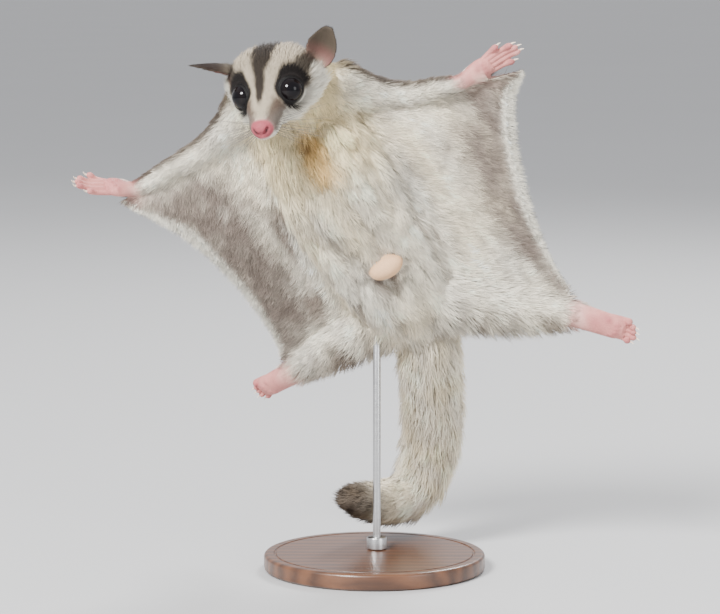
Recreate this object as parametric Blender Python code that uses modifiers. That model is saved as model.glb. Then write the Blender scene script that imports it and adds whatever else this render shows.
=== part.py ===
"""Sugar glider in mid glide, life size, on a round display stand.

The animal hangs upright with its belly to the front, limbs spread and both gliding
membranes stretched. Every node is a closed solid of the coat's outer shape, and each
meets its neighbours with a small gap. Sizes are millimetres until they reach Blender.
The origin is the middle of the stand's underside, +Z up, and the belly faces -Y.
"""

import math

import bmesh
import bpy
import numpy as np
from mathutils import Matrix, Vector

MM = 0.001
GAP = 0.3

# Skeleton, in millimetres: the points that the pose hangs on.
NECK_BASE = (-27.8, -18.1, 183.2)
CHEST = (-19.9, -13.6, 167.9)
WAIST = (-5.2, -6.1, 143.5)
BELLY = (8.2, 1.7, 122.5)
PELVIS = (17.6, 8.4, 109.5)
TAIL_ROOT = (22.2, 13.5, 100.7)

SHOULDER = {"left": (-14.3, -12.2, 200.3), "right": (-49.0, -10.9, 193.9)}
ELBOW = {"left": (11.9, -10.5, 197.9), "right": (-70.6, -2.9, 174.7)}
WRIST = {"left": (35.0, -22.0, 203.5), "right": (-98.5, -2.5, 158.6)}
HAND_TIP = {"left": (59.4, -28.6, 219.6), "right": (-122.8, -16.2, 162.8)}

HIP = {"left": (26.5, 4.9, 114.8), "right": (7.5, 10.1, 106.9)}
KNEE = {"left": (55.5, 0.5, 110.2), "right": (-13.0, 20.8, 93.6)}
ANKLE = {"left": (82.2, -5.8, 107.5), "right": (-34.0, 33.3, 78.2)}
TOE_TIP = {"left": (109.0, -12.7, 99.6), "right": (-52.6, 54.0, 65.3)}

# The head's turns from facing -Y upright: nose to its right, chin down, left side up.
HEAD_YAW_DEG = 16.0
HEAD_PITCH_DEG = 26.0
HEAD_ROLL_DEG = 10.0
# The point midway between the eyes.
FACE = (-43.0, -46.5, 199.1)

# Trunk and neck: x, y, z, half width, half depth.
TRUNK_ROWS = (
    (-29.0, -8.5, 187.0, 22.5, 16.0),
    (*CHEST, 25.5, 18.0),
    (*WAIST, 26.5, 17.5),
    (*BELLY, 25.5, 17.0),
    (*PELVIS, 20.5, 16.0),
    (*TAIL_ROOT, 14.0, 13.5),
)
NECK_ROWS = (
    (-37.5, -23.0, 207.0, 16.5, 13.5),
    (-34.5, -16.0, 200.0, 22.0, 15.5),
    (-31.0, -10.5, 191.5, 23.0, 16.0),
    (-27.0, -9.0, 181.0, 23.0, 16.0),
)

# Tail centre line with the radius of its fur.
TAIL_ROWS = (
    (21.0, 10.5, 107.0, 12.5, 12.5),
    (22.6, 14.5, 98.0, 15.2, 14.4),
    (23.5, 22.8, 83.7, 16.2, 15.2),
    (24.6, 31.9, 65.7, 15.5, 14.6),
    (24.3, 39.1, 47.6, 14.6, 13.8),
    (21.0, 41.5, 33.0, 13.7, 12.8),
    (13.6, 36.6, 24.9, 11.2, 10.8),
    (3.2, 25.5, 23.6, 9.2, 9.0),
    (-7.2, 13.9, 26.6, 7.4, 7.2),
    (-12.4, 8.2, 28.2, 3.6, 3.6),
)
# Where the tail is parted, as ring numbers.
TAIL_CUTS = (0, 10, 19, 27)
TAIL_FACING = Vector((1, 0, 0))

# Rings along each form and sides round it.
HEAD_GRID = (17, 20)
NECK_GRID = (6, 20)
TRUNK_GRID = (12, 22)
TAIL_GRID = (28, 14)
LIMB_GRID = (10, 14)
PALM_GRID = (6, 12)
DIGIT_GRID = (6, 6)

# Limb radii, half width and half depth, at the three joints and halfway between them.
ARM_RADII = ((13.2, 10.5), (7.8, 7.2), (6.0, 5.6), (4.8, 4.4), (3.5, 3.2))
LEG_RADII = ((15.0, 12.5), (12.4, 10.5), (10.2, 8.4), (8.4, 6.2), (6.6, 4.4))

# Each limb starts this far inside the body, with this share of its first radii.
LIMB_ROOT = 9.0
LIMB_ROOT_SHARE = 0.6

# Head outline: forward, half width, top, bottom, in head axes from the point FACE.
HEAD_OUTLINE = (
    (19.0, 1.6, -4.2, -7.0),
    (17.8, 3.2, -2.8, -8.8),
    (15.0, 4.9, -1.2, -10.4),
    (10.5, 6.8, 1.4, -11.6),
    (5.0, 9.6, 5.0, -12.6),
    (0.0, 13.2, 8.2, -13.4),
    (-5.0, 16.2, 10.4, -14.2),
    (-10.0, 18.4, 11.6, -15.0),
    (-15.0, 19.6, 11.8, -15.6),
    (-20.0, 18.8, 10.6, -15.6),
    (-25.0, 15.8, 7.6, -14.4),
    (-29.0, 11.0, 2.6, -11.4),
)
HEAD_CORNERS = 0.9

EYE_RADIUS = 5.3
EYE_CENTRE = (9.3, -2.2, -0.3)

# Ears, in head axes for the left side: root, direction to the tip and facing.
EAR_ROOT = {"left": (17.8, -16.6, 1.2), "right": (-16.4, -15.6, 2.4)}
EAR_AXIS = {"left": (10.6, 1.0, 15.6), "right": (-12.0, 6.8, 10.8)}
EAR_FACING = {"left": (-0.15, 0.95, 0.10), "right": (-0.42, 0.62, -0.66)}
EAR_LENGTH = 19.5
EAR_HALF_WIDTHS = (3.6, 5.2, 6.1, 6.2, 5.4, 3.9, 1.5)
# The cup is this deep on average, more by a share at the root and less at the tip.
EAR_CUP_DEG = 62.0
EAR_CUP_SHARES = (1.25, 0.45)
# How much lower the middle of the root line runs than its ends, as a share of the length.
EAR_ROOT_CURVE = 0.06
EAR_THICKNESS = 1.0
EAR_GRID = 7

# Digits: along the paw, across it (+ is the first digit's side), splay, length, radius.
HAND_DIGITS = (
    (9.5, 2.3, 14.0, 11.0, 1.15),
    (12.0, 2.2, 0.0, 13.2, 1.1),
    (12.0, 0.7, -2.0, 14.6, 1.1),
    (11.6, -1.1, -3.0, 14.8, 1.1),
    (10.0, -2.9, -6.0, 12.2, 1.1),
)
FOOT_DIGITS = (
    (16.0, 3.6, 4.0, 7.4, 1.5),
    (19.6, 2.0, 3.0, 5.8, 1.15),
    (19.8, 0.3, 0.0, 6.2, 1.15),
    (19.2, -1.6, -3.0, 7.4, 1.25),
    (17.6, -3.4, -6.0, 7.0, 1.2),
)
# Palm and sole: share of the length, half width, half depth.
PALM_ROWS = ((0.0, 3.2, 2.9), (0.14, 3.7, 2.9), (0.32, 4.5, 2.6), (0.42, 4.3, 2.1), (0.47, 3.3, 1.5))
SOLE_ROWS = ((0.0, 6.2, 4.2), (0.2, 5.4, 3.9), (0.45, 5.2, 3.2), (0.66, 5.0, 2.5), (0.76, 3.9, 1.7))
PAWS = {
    "hand": (WRIST, HAND_TIP, PALM_ROWS, HAND_DIGITS),
    "foot": (ANKLE, TOE_TIP, SOLE_ROWS, FOOT_DIGITS),
}
# How far each paw is turned about its own length.
PAW_TURN_DEG = {"hand": {"left": 0.0, "right": 70.0}, "foot": {"left": 0.0, "right": 0.0}}
# A digit's knuckle, joint, pad and end: share of its length, lift to the palm side, share of
# its radius. The first row is sunk into the palm.
DIGIT_SINK = 2.0
DIGIT_SHAPE = ((0.30, -0.5, 1.0), (0.62, -0.7, 0.9), (0.88, -0.1, 1.05), (1.0, 0.3, 0.75))
# A claw's middle and point: share of its length beyond the digit, lift, half width, half depth.
CLAW_LENGTH = 2.4
CLAW_SHAPE = ((0.5, 0.2, 0.45, 0.5), (0.95, 0.9, 0.28, 0.28))

# Free edges of the gliding membranes, from the hand to the foot.
FREE_EDGE = {
    "left": (
        (59.6, -28.9, 208.8),
        (57.4, -26.3, 204.5),
        (55.5, -21.7, 196.8),
        (57.5, -15.8, 176.3),
        (63.8, -12.4, 151.3),
        (72.6, -8.7, 128.9),
        (80.6, -5.9, 115.4),
    ),
    "right": (
        (-105.0, -3.6, 153.8),
        (-92.6, -2.6, 147.6),
        (-78.3, 1.4, 138.8),
        (-68.1, 6.5, 129.8),
        (-52.6, 16.5, 110.8),
        (-40.8, 26.5, 91.6),
        (-38.8, 30.8, 83.9),
    ),
}
MEMBRANE_THICKNESS = 3.0
MEMBRANE_BILLOW = 4.0
# Where the membrane's inner line starts, as a share of the forearm from the wrist and as
# a drop below it, and how far below the shoulder it passes.
MEMBRANE_START = 0.18
MEMBRANE_DROP = 3.0
ARMPIT_DROP = 10.0
# How far to the side of the trunk's middle the membrane starts inside it.
FLANK_INSET = 14.0
MEMBRANE_SPANS = (16, 5)

SCROTUM_CENTRE = (4.6, -16.4, 128.0)
SCROTUM_HALF_SIZE = (7.6, 4.6, 5.2)

BASE_SIDES = 36
ROD_SIDES = 16
COLLAR_SIDES = 24
BASE_RADIUS = 46.0
BASE_HEIGHT = 7.0
BASE_BEVEL = 1.2
ROD_RADIUS = 1.6
# The rod's place in x and y.
ROD_FOOT = (1.0, 6.5)
ROD_TOP = 112.0
ROD_SINK = 4.0
COLLAR_RADIUS = 4.2
COLLAR_HEIGHT = 5.0


def vec(point):
    return Vector(point)


def clear_scene():
    for obj in list(bpy.data.objects):
        bpy.data.objects.remove(obj)


def new_collection(name):
    collection = bpy.data.collections.new(name)
    bpy.context.scene.collection.children.link(collection)
    return collection


def new_material(name, colour, roughness, metallic=0.0):
    material = bpy.data.materials.new(name)
    material.use_nodes = True
    shader = material.node_tree.nodes["Principled BSDF"]
    shader.inputs["Base Color"].default_value = (*colour, 1.0)
    shader.inputs["Roughness"].default_value = roughness
    shader.inputs["Metallic"].default_value = metallic
    return material


clear_scene()
GLIDER = new_collection("sugar_glider")
CUTTERS = new_collection("cutters")
FUR_CREAM = new_material("cream_fur", (0.74, 0.70, 0.62), 0.9)
FUR_GREY = new_material("grey_fur", (0.42, 0.39, 0.36), 0.9)
SKIN_PINK = new_material("pink_skin", (0.80, 0.56, 0.52), 0.55)
EYE_BLACK = new_material("eye_black", (0.01, 0.01, 0.015), 0.08)
WOOD = new_material("dark_wood", (0.10, 0.06, 0.035), 0.45)
STEEL = new_material("steel", (0.62, 0.62, 0.63), 0.3, 1.0)


def add_object(name, mesh, material):
    """A node of the animal or its stand, shaded smooth."""
    obj = bpy.data.objects.new(name, mesh)
    mesh.materials.append(material)
    mesh.shade_smooth()
    GLIDER.objects.link(obj)
    return obj


def add_cutter(name, mesh):
    obj = bpy.data.objects.new(name, mesh)
    obj.hide_render = True
    obj.display_type = "WIRE"
    CUTTERS.objects.link(obj)
    return obj


def combine(target, other, operation="DIFFERENCE", solver="EXACT"):
    modifier = target.modifiers.new(f"{operation.lower()} {other.name}", "BOOLEAN")
    modifier.operation = operation
    modifier.solver = solver
    modifier.object = other


def smooth_rows(rows, count):
    """count rows read evenly from a smooth curve through the given rows."""
    rows = np.array(rows, float)
    ends = np.vstack([2 * rows[0] - rows[1], rows, 2 * rows[-1] - rows[-2]])
    found = []
    for place in np.linspace(0, len(rows) - 1, count):
        i = min(int(place), len(rows) - 2)
        t = place - i
        a, b, c, d = ends[i : i + 4]
        found.append(
            0.5 * (2 * b + (c - a) * t + (2 * a - 5 * b + 4 * c - d) * t**2 + (3 * b - a - 3 * c + d) * t**3)
        )
    return np.array(found)


def mesh_of_rings(name, rings):
    """A closed mesh from rings of points, each given round the same way."""
    bm = bmesh.new()
    loops = [[bm.verts.new(Vector(point) * MM) for point in ring] for ring in rings]
    sides = len(loops[0])
    for low, high in zip(loops, loops[1:]):
        for k in range(sides):
            n = (k + 1) % sides
            bm.faces.new((low[k], low[n], high[n], high[k]))
    bm.faces.new(loops[0])
    bm.faces.new(loops[-1])
    bmesh.ops.recalc_face_normals(bm, faces=bm.faces)
    mesh = bpy.data.meshes.new(name)
    bm.to_mesh(mesh)
    bm.free()
    return mesh


def body_axes():
    """(left, headward, ventral) of the trunk."""
    headward = (vec(NECK_BASE) - vec(PELVIS)).normalized()
    left = vec(SHOULDER["left"]) - vec(SHOULDER["right"])
    left = (left - headward * left.dot(headward)).normalized()
    return left, headward, left.cross(headward).normalized()


def head_axes():
    """(left, forward, up) of the head."""
    turn = Matrix.Rotation(math.radians(-HEAD_ROLL_DEG), 3, "Y")
    turn @= Matrix.Rotation(math.radians(-HEAD_YAW_DEG), 3, "Z")
    turn @= Matrix.Rotation(math.radians(HEAD_PITCH_DEG), 3, "X")
    return turn @ Vector((1, 0, 0)), turn @ Vector((0, -1, 0)), turn @ Vector((0, 0, 1))


BODY_LEFT, BODY_HEADWARD, BODY_VENTRAL = body_axes()
HEAD_LEFT, HEAD_FORWARD, HEAD_UP = head_axes()


def rings_along(rows, sides, facing=BODY_VENTRAL, grow=0.0):
    """Elliptical rings along rows of x, y, z, half width, half depth; the depth lies along facing."""
    centres = [Vector(row[:3]) for row in rows]
    rings = []
    for i, row in enumerate(rows):
        along = (centres[min(i + 1, len(rows) - 1)] - centres[max(i - 1, 0)]).normalized()
        depth = (facing - along * facing.dot(along)).normalized()
        width = along.cross(depth)
        end_push = along * grow * ((i == len(rows) - 1) - (i == 0))
        ring = []
        for k in range(sides):
            turn = 2 * math.pi * k / sides
            across = width * math.cos(turn) * (row[3] + grow)
            out = depth * math.sin(turn) * (row[4] + grow)
            ring.append(centres[i] + end_push + across + out)
        rings.append(ring)
    return rings


def head_point(left, forward, up):
    return vec(FACE) + HEAD_LEFT * left + HEAD_FORWARD * forward + HEAD_UP * up


def rounded(value):
    """A cosine or sine drawn out, so that an ellipse gains fuller corners."""
    return math.copysign(abs(value) ** HEAD_CORNERS, value)


def head_rings(grow=0.0):
    rings = []
    for forward, half_width, top, bottom in smooth_rows(HEAD_OUTLINE, HEAD_GRID[0]):
        middle, half_height = (top + bottom) / 2, (top - bottom) / 2
        ring = []
        for k in range(HEAD_GRID[1]):
            turn = 2 * math.pi * k / HEAD_GRID[1]
            left = (half_width + grow) * rounded(math.cos(turn))
            up = middle + (half_height + grow) * rounded(math.sin(turn))
            ring.append(head_point(left, forward, up))
        rings.append(ring)
    return rings


def limb_rows(joints, radii):
    """Rows along a limb of three joints, from a rounded root inside the body."""
    inward = (vec(joints[0]) - vec(joints[1])).normalized()
    points = [vec(joints[0]) + inward * LIMB_ROOT]
    for a, b in zip(joints, joints[1:]):
        points += [vec(a), (vec(a) + vec(b)) / 2]
    points.append(vec(joints[-1]))
    root_radii = [LIMB_ROOT_SHARE * radius for radius in radii[0]]
    return smooth_rows([(*p, *r) for p, r in zip(points, [root_radii, *radii])], LIMB_GRID[0])


def arm_rows(side):
    return limb_rows((SHOULDER[side], ELBOW[side], WRIST[side]), ARM_RADII)


def leg_rows(side):
    return limb_rows((HIP[side], KNEE[side], ANKLE[side]), LEG_RADII)


def sphere_mesh(name, centre, radius, scale=(1, 1, 1), turn=None, segments=12, rings=8):
    bm = bmesh.new()
    bmesh.ops.create_uvsphere(bm, u_segments=segments, v_segments=rings, radius=radius * MM)
    bmesh.ops.transform(bm, matrix=Matrix.Diagonal((*scale, 1)), verts=bm.verts)
    if turn is not None:
        bmesh.ops.transform(bm, matrix=turn.to_4x4(), verts=bm.verts)
    bmesh.ops.translate(bm, vec=Vector(centre) * MM, verts=bm.verts)
    mesh = bpy.data.meshes.new(name)
    bm.to_mesh(mesh)
    bm.free()
    return mesh


def make_head():
    head = add_object("head", mesh_of_rings("head", head_rings()), FUR_CREAM)
    for side, sign in (("left", 1), ("right", -1)):
        left, forward, up = EYE_CENTRE
        centre = head_point(sign * left, forward, up)
        add_object(f"eye_{side}", sphere_mesh("eye", centre, EYE_RADIUS), EYE_BLACK)
        socket = add_cutter(f"socket_{side}", sphere_mesh("socket", centre, EYE_RADIUS + GAP))
        combine(head, socket)
    return add_cutter("head_space", mesh_of_rings("head_space", head_rings(GAP)))


def ear_mesh(side):
    """A leaf, cupped about its length, as an open sheet."""
    root = head_point(*EAR_ROOT[side])
    axis = (head_point(*EAR_AXIS[side]) - vec(FACE)).normalized()
    facing = head_point(*EAR_FACING[side]) - vec(FACE)
    facing = (facing - axis * facing.dot(axis)).normalized()
    across = axis.cross(facing)
    rows = smooth_rows([(w,) for w in EAR_HALF_WIDTHS], EAR_GRID)
    bm = bmesh.new()
    grid = []
    for i, (half_width,) in enumerate(rows):
        share = i / (len(rows) - 1)
        at_root, at_tip = EAR_CUP_SHARES
        cup = math.radians(EAR_CUP_DEG * (at_root + (at_tip - at_root) * share))
        bend = half_width / math.sin(cup)
        line = []
        for j in range(EAR_GRID):
            turn = cup * (2 * j / (EAR_GRID - 1) - 1)
            point = root + axis * EAR_LENGTH * (share - EAR_ROOT_CURVE * (1 - share) * math.cos(turn))
            point += across * bend * math.sin(turn) - facing * bend * (math.cos(turn) - math.cos(cup))
            line.append(bm.verts.new(point * MM))
        grid.append(line)
    for low, high in zip(grid, grid[1:]):
        for j in range(EAR_GRID - 1):
            bm.faces.new((low[j], low[j + 1], high[j + 1], high[j]))
    mesh = bpy.data.meshes.new(f"ear_{side}")
    bm.to_mesh(mesh)
    bm.free()
    return mesh


def add_shell(obj, thickness):
    shell = obj.modifiers.new("thickness", "SOLIDIFY")
    shell.thickness = thickness * MM
    shell.offset = 0.0


def make_ears(head_space):
    for side in ("left", "right"):
        ear = add_object(f"ear_{side}", ear_mesh(side), FUR_GREY)
        add_shell(ear, EAR_THICKNESS)
        combine(ear, head_space)


def make_neck(head_space):
    count, sides = NECK_GRID
    rows = smooth_rows(NECK_ROWS, count)
    neck = add_object("neck", mesh_of_rings("neck", rings_along(rows, sides)), FUR_CREAM)
    combine(neck, head_space)
    return add_cutter("neck_space", mesh_of_rings("neck_space", rings_along(rows, sides, grow=GAP)))


def make_scrotum():
    """The small bare sac in the middle of the lower belly."""
    turn = Matrix((BODY_LEFT, BODY_HEADWARD, BODY_VENTRAL)).transposed()
    size = SCROTUM_HALF_SIZE
    scale = (size[0] / size[2], size[1] / size[2], 1)
    add_object("scrotum", sphere_mesh("scrotum", SCROTUM_CENTRE, size[2], scale, turn), SKIN_PINK)
    space = sphere_mesh("scrotum_space", SCROTUM_CENTRE, size[2] + GAP, scale, turn)
    return add_cutter("scrotum_space", space)


def make_trunk(spaces):
    count, sides = TRUNK_GRID
    rows = smooth_rows(TRUNK_ROWS, count)
    trunk = add_object("trunk", mesh_of_rings("trunk", rings_along(rows, sides)), FUR_CREAM)
    for space in spaces:
        combine(trunk, space)
    return add_cutter("trunk_space", mesh_of_rings("trunk_space", rings_along(rows, sides, grow=GAP)))


def make_tail(trunk_space):
    """One smooth tail, parted into three lengths. Returns the space of the first."""
    count, sides = TAIL_GRID
    rows = smooth_rows(TAIL_ROWS, count)
    rings = rings_along(rows, sides, TAIL_FACING)
    names = ("tail_base", "tail_middle", "tail_tip")
    for name, start, end in zip(names, TAIL_CUTS, TAIL_CUTS[1:]):
        part = [list(ring) for ring in rings[start : end + 1]]
        if start:
            along = (Vector(rows[start + 1][:3]) - Vector(rows[start][:3])).normalized()
            part[0] = [point + along * GAP for point in part[0]]
        tail = add_object(name, mesh_of_rings(name, part), FUR_CREAM)
        if name == "tail_base":
            combine(tail, trunk_space)
    first = rings_along(rows[: TAIL_CUTS[1] + 1], sides, TAIL_FACING, grow=GAP)
    return add_cutter("tail_space", mesh_of_rings("tail_space", first))


def make_limb(name, rows, spaces):
    """An arm or a leg, cut by what it grows from. Returns its own space."""
    sides = LIMB_GRID[1]
    limb = add_object(name, mesh_of_rings(name, rings_along(rows, sides)), FUR_CREAM)
    for space in spaces:
        combine(limb, space)
    return add_cutter(f"{name}_space", mesh_of_rings(name, rings_along(rows, sides, grow=GAP)))


def paw_axes(kind, side):
    """(along, towards the first digit, palm side) of a hand or foot."""
    start, tip = PAWS[kind][0][side], PAWS[kind][1][side]
    along = (vec(tip) - vec(start)).normalized()
    palm = (BODY_VENTRAL - along * BODY_VENTRAL.dot(along)).normalized()
    palm = Matrix.Rotation(math.radians(PAW_TURN_DEG[kind][side]), 3, along) @ palm
    first = palm.cross(along) if side == "left" else along.cross(palm)
    return along, first.normalized(), palm


def digit_rows(start, axes, digit, clawed):
    """Rows along one digit: knuckle, joint, pad and claw."""
    along, first, palm = axes
    reach, across, splay, length, radius = digit
    splay = math.radians(splay)
    heading = along * math.cos(splay) + first * math.sin(splay)
    root = vec(start) + along * reach + first * across
    shape = [(-DIGIT_SINK, 0.0, 1.1), *((share * length, lift, size) for share, lift, size in DIGIT_SHAPE)]
    rows = []
    for step, lift, size in shape:
        rows.append((*(root + heading * step + palm * lift), radius * size, radius * size))
    if clawed:
        for share, lift, half_width, half_depth in CLAW_SHAPE:
            point = root + heading * (length + share * CLAW_LENGTH) + palm * lift
            rows.append((*point, half_width, half_depth))
    return rows


def palm_rings(kind, side, grow=0.0):
    starts, tips, outline, _ = PAWS[kind]
    along, _, palm = paw_axes(kind, side)
    length = (vec(tips[side]) - vec(starts[side])).length
    rows = [(*(vec(starts[side]) + along * (GAP + share * length)), w, d) for share, w, d in outline]
    count, sides = PALM_GRID
    return rings_along(smooth_rows(rows, count), sides, palm, grow)


def digit_rings(kind, side, number):
    """Rings of one digit. Only the first digit of the foot has no claw."""
    starts, _, _, digits = PAWS[kind]
    axes = paw_axes(kind, side)
    rows = digit_rows(starts[side], axes, digits[number], kind == "hand" or number > 0)
    count, sides = DIGIT_GRID
    return rings_along(smooth_rows(rows, count), sides, axes[2])


def make_paw(kind, side, limb_space):
    """A palm or sole with its digits joined to it. Returns the space of the palm or sole."""
    name = f"{kind}_{side}"
    paw = add_object(name, mesh_of_rings(name, palm_rings(kind, side)), SKIN_PINK)
    for number in range(len(PAWS[kind][3])):
        mesh = mesh_of_rings("digit", digit_rings(kind, side, number))
        digit = add_cutter(f"{name}_digit_{number + 1}", mesh)
        combine(paw, digit, "UNION")
    combine(paw, limb_space)
    return add_cutter(f"{name}_space", mesh_of_rings(name, palm_rings(kind, side, GAP)))


def membrane_mesh(side):
    """A sheet from the arm, flank and leg out to the free edge, billowed towards the back."""
    flank = BODY_LEFT * (1 if side == "left" else -1)
    inner = [
        vec(WRIST[side]).lerp(vec(ELBOW[side]), MEMBRANE_START) - BODY_HEADWARD * MEMBRANE_DROP,
        vec(ELBOW[side]),
        vec(SHOULDER[side]) - BODY_HEADWARD * ARMPIT_DROP,
        vec(CHEST) + flank * FLANK_INSET,
        vec(WAIST) + flank * FLANK_INSET,
        vec(KNEE[side]),
        vec(ANKLE[side]),
    ]
    spans, columns = MEMBRANE_SPANS
    inner = smooth_rows(inner, spans + 1)
    outer = smooth_rows(FREE_EDGE[side], spans + 1)
    bm = bmesh.new()
    grid = []
    for i in range(spans + 1):
        share = i / spans
        line = []
        for j in range(columns + 1):
            out = j / columns
            point = Vector(inner[i]).lerp(Vector(outer[i]), out)
            lift = MEMBRANE_BILLOW * math.sin(math.pi * share) * math.sin(math.pi * out)
            line.append(bm.verts.new((point - BODY_VENTRAL * lift) * MM))
        grid.append(line)
    for low, high in zip(grid, grid[1:]):
        for j in range(columns):
            bm.faces.new((low[j], low[j + 1], high[j + 1], high[j]))
    mesh = bpy.data.meshes.new(f"membrane_{side}")
    bm.to_mesh(mesh)
    bm.free()
    return mesh


def make_membrane(side, spaces):
    membrane = add_object(f"membrane_{side}", membrane_mesh(side), FUR_GREY)
    add_shell(membrane, MEMBRANE_THICKNESS)
    for space in spaces:
        combine(membrane, space, solver="MANIFOLD")


def cylinder_mesh(name, radius, low, high, middle=(0, 0), segments=BASE_SIDES):
    bm = bmesh.new()
    sizes = {"radius1": radius * MM, "radius2": radius * MM, "depth": (high - low) * MM}
    bmesh.ops.create_cone(bm, cap_ends=True, segments=segments, **sizes)
    bmesh.ops.translate(bm, vec=Vector((*middle, (low + high) / 2)) * MM, verts=bm.verts)
    mesh = bpy.data.meshes.new(name)
    bm.to_mesh(mesh)
    bm.free()
    return mesh


def make_stand():
    """A round base and one rod up into the pelvis. Returns the rod's space."""
    base = add_object("stand_base", cylinder_mesh("stand_base", BASE_RADIUS, 0, BASE_HEIGHT), WOOD)
    bevel = base.modifiers.new("rounded rim", "BEVEL")
    bevel.width = BASE_BEVEL * MM
    bevel.segments = 2
    bevel.limit_method = "ANGLE"
    foot = BASE_HEIGHT - ROD_SINK
    rod = cylinder_mesh("stand_rod", ROD_RADIUS, foot, ROD_TOP, ROD_FOOT, ROD_SIDES)
    add_object("stand_rod", rod, STEEL)
    space = cylinder_mesh("rod_space", ROD_RADIUS + GAP, foot - GAP, ROD_TOP + GAP, ROD_FOOT, ROD_SIDES)
    rod_space = add_cutter("rod_space", space)
    low = BASE_HEIGHT + GAP
    collar = cylinder_mesh("stand_collar", COLLAR_RADIUS, low, low + COLLAR_HEIGHT, ROD_FOOT, COLLAR_SIDES)
    combine(add_object("stand_collar", collar, STEEL), rod_space)
    combine(base, rod_space)
    return rod_space


def main():
    rod_space = make_stand()
    head_space = make_head()
    make_ears(head_space)
    neck_space = make_neck(head_space)
    scrotum_space = make_scrotum()
    trunk_space = make_trunk((neck_space, head_space, scrotum_space, rod_space))
    tail_space = make_tail(trunk_space)
    for side in ("left", "right"):
        arm_space = make_limb(f"arm_{side}", arm_rows(side), (trunk_space, neck_space, head_space))
        leg_space = make_limb(f"leg_{side}", leg_rows(side), (trunk_space, tail_space, rod_space))
        palm_space = make_paw("hand", side, arm_space)
        sole_space = make_paw("foot", side, leg_space)
        make_membrane(side, (trunk_space, neck_space, arm_space, leg_space, palm_space, sole_space))


main()
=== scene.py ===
"""Sugar glider in mid glide: one skin with its coat, eyes, claws and whiskers, on its stand.

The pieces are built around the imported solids. The skin repeats their lines with the coat's
depth taken off, and the coat is joined mesh tufts that follow the lie of the hair. Sizes are
millimetres until they reach Blender.
"""

import itertools
import math

import bmesh
import bpy
import numpy as np
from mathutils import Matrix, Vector
from mathutils.kdtree import KDTree


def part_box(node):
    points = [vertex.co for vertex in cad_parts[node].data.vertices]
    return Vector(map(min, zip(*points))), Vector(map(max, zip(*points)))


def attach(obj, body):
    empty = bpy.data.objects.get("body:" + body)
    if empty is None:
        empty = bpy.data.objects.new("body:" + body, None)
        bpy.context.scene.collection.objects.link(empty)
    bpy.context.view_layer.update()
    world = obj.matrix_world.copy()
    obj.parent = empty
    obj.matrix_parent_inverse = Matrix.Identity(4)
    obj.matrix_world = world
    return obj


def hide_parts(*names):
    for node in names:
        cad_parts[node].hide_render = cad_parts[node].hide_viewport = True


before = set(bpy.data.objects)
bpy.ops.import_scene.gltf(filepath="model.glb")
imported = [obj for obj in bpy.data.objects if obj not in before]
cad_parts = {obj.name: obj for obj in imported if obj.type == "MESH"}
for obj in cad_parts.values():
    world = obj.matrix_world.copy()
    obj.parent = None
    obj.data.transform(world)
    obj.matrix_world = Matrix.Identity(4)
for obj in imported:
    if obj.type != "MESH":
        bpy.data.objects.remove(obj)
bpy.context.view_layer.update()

bl_info = {
    "name": "Sugar Glider Model",
    "version": (1, 0, 0),
    "blender": (4, 5, 0),
    "location": "View3D > Sidebar > Glider",
    "description": "Builds the skin, coat, eyes, claws, stand and studio of a gliding sugar glider",
    "category": "Object",
}

MM = 0.001

# Skeleton: the points that the pose hangs on, as in the solids.
NECK_BASE = (-27.8, -18.1, 183.2)
CHEST = (-19.9, -13.6, 167.9)
WAIST = (-5.2, -6.1, 143.5)
BELLY = (8.2, 1.7, 122.5)
PELVIS = (17.6, 8.4, 109.5)
TAIL_ROOT = (22.2, 13.5, 100.7)
SHOULDER = {"left": (-14.3, -12.2, 200.3), "right": (-49.0, -10.9, 193.9)}
ELBOW = {"left": (11.9, -10.5, 197.9), "right": (-70.6, -2.9, 174.7)}
WRIST = {"left": (35.0, -22.0, 203.5), "right": (-98.5, -2.5, 158.6)}
HAND_TIP = {"left": (59.4, -28.6, 219.6), "right": (-122.8, -16.2, 162.8)}
HIP = {"left": (26.5, 4.9, 114.8), "right": (7.5, 10.1, 106.9)}
KNEE = {"left": (55.5, 0.5, 110.2), "right": (-13.0, 20.8, 93.6)}
ANKLE = {"left": (82.2, -5.8, 107.5), "right": (-34.0, 33.3, 78.2)}
TOE_TIP = {"left": (109.0, -12.7, 99.6), "right": (-52.6, 54.0, 65.3)}
SIDES = ("left", "right")

HEAD_YAW_DEG = 16.0
HEAD_PITCH_DEG = 26.0
HEAD_ROLL_DEG = 10.0
FACE = (-43.0, -46.5, 199.1)

# Centre lines with half width and half depth of the coat's outline.
TRUNK_ROWS = (
    (-29.0, -8.5, 187.0, 22.5, 16.0),
    (*CHEST, 25.5, 18.0),
    (*WAIST, 26.5, 17.5),
    (*BELLY, 25.5, 17.0),
    (*PELVIS, 20.5, 16.0),
    (*TAIL_ROOT, 14.0, 13.5),
)
NECK_ROWS = (
    (-37.5, -23.0, 207.0, 16.5, 13.5),
    (-34.5, -16.0, 200.0, 22.0, 15.5),
    (-31.0, -10.5, 191.5, 23.0, 16.0),
    (-27.0, -9.0, 181.0, 23.0, 16.0),
)
TAIL_ROWS = (
    (21.0, 10.5, 107.0, 12.5, 12.5),
    (22.6, 14.5, 98.0, 15.2, 14.4),
    (23.5, 22.8, 83.7, 16.2, 15.2),
    (24.6, 31.9, 65.7, 15.5, 14.6),
    (24.3, 39.1, 47.6, 14.6, 13.8),
    (21.0, 41.5, 33.0, 13.7, 12.8),
    (13.6, 36.6, 24.9, 11.2, 10.8),
    (3.2, 25.5, 23.6, 9.2, 9.0),
    (-7.2, 13.9, 26.6, 7.4, 7.2),
    (-12.4, 8.2, 28.2, 3.6, 3.6),
)
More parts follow.
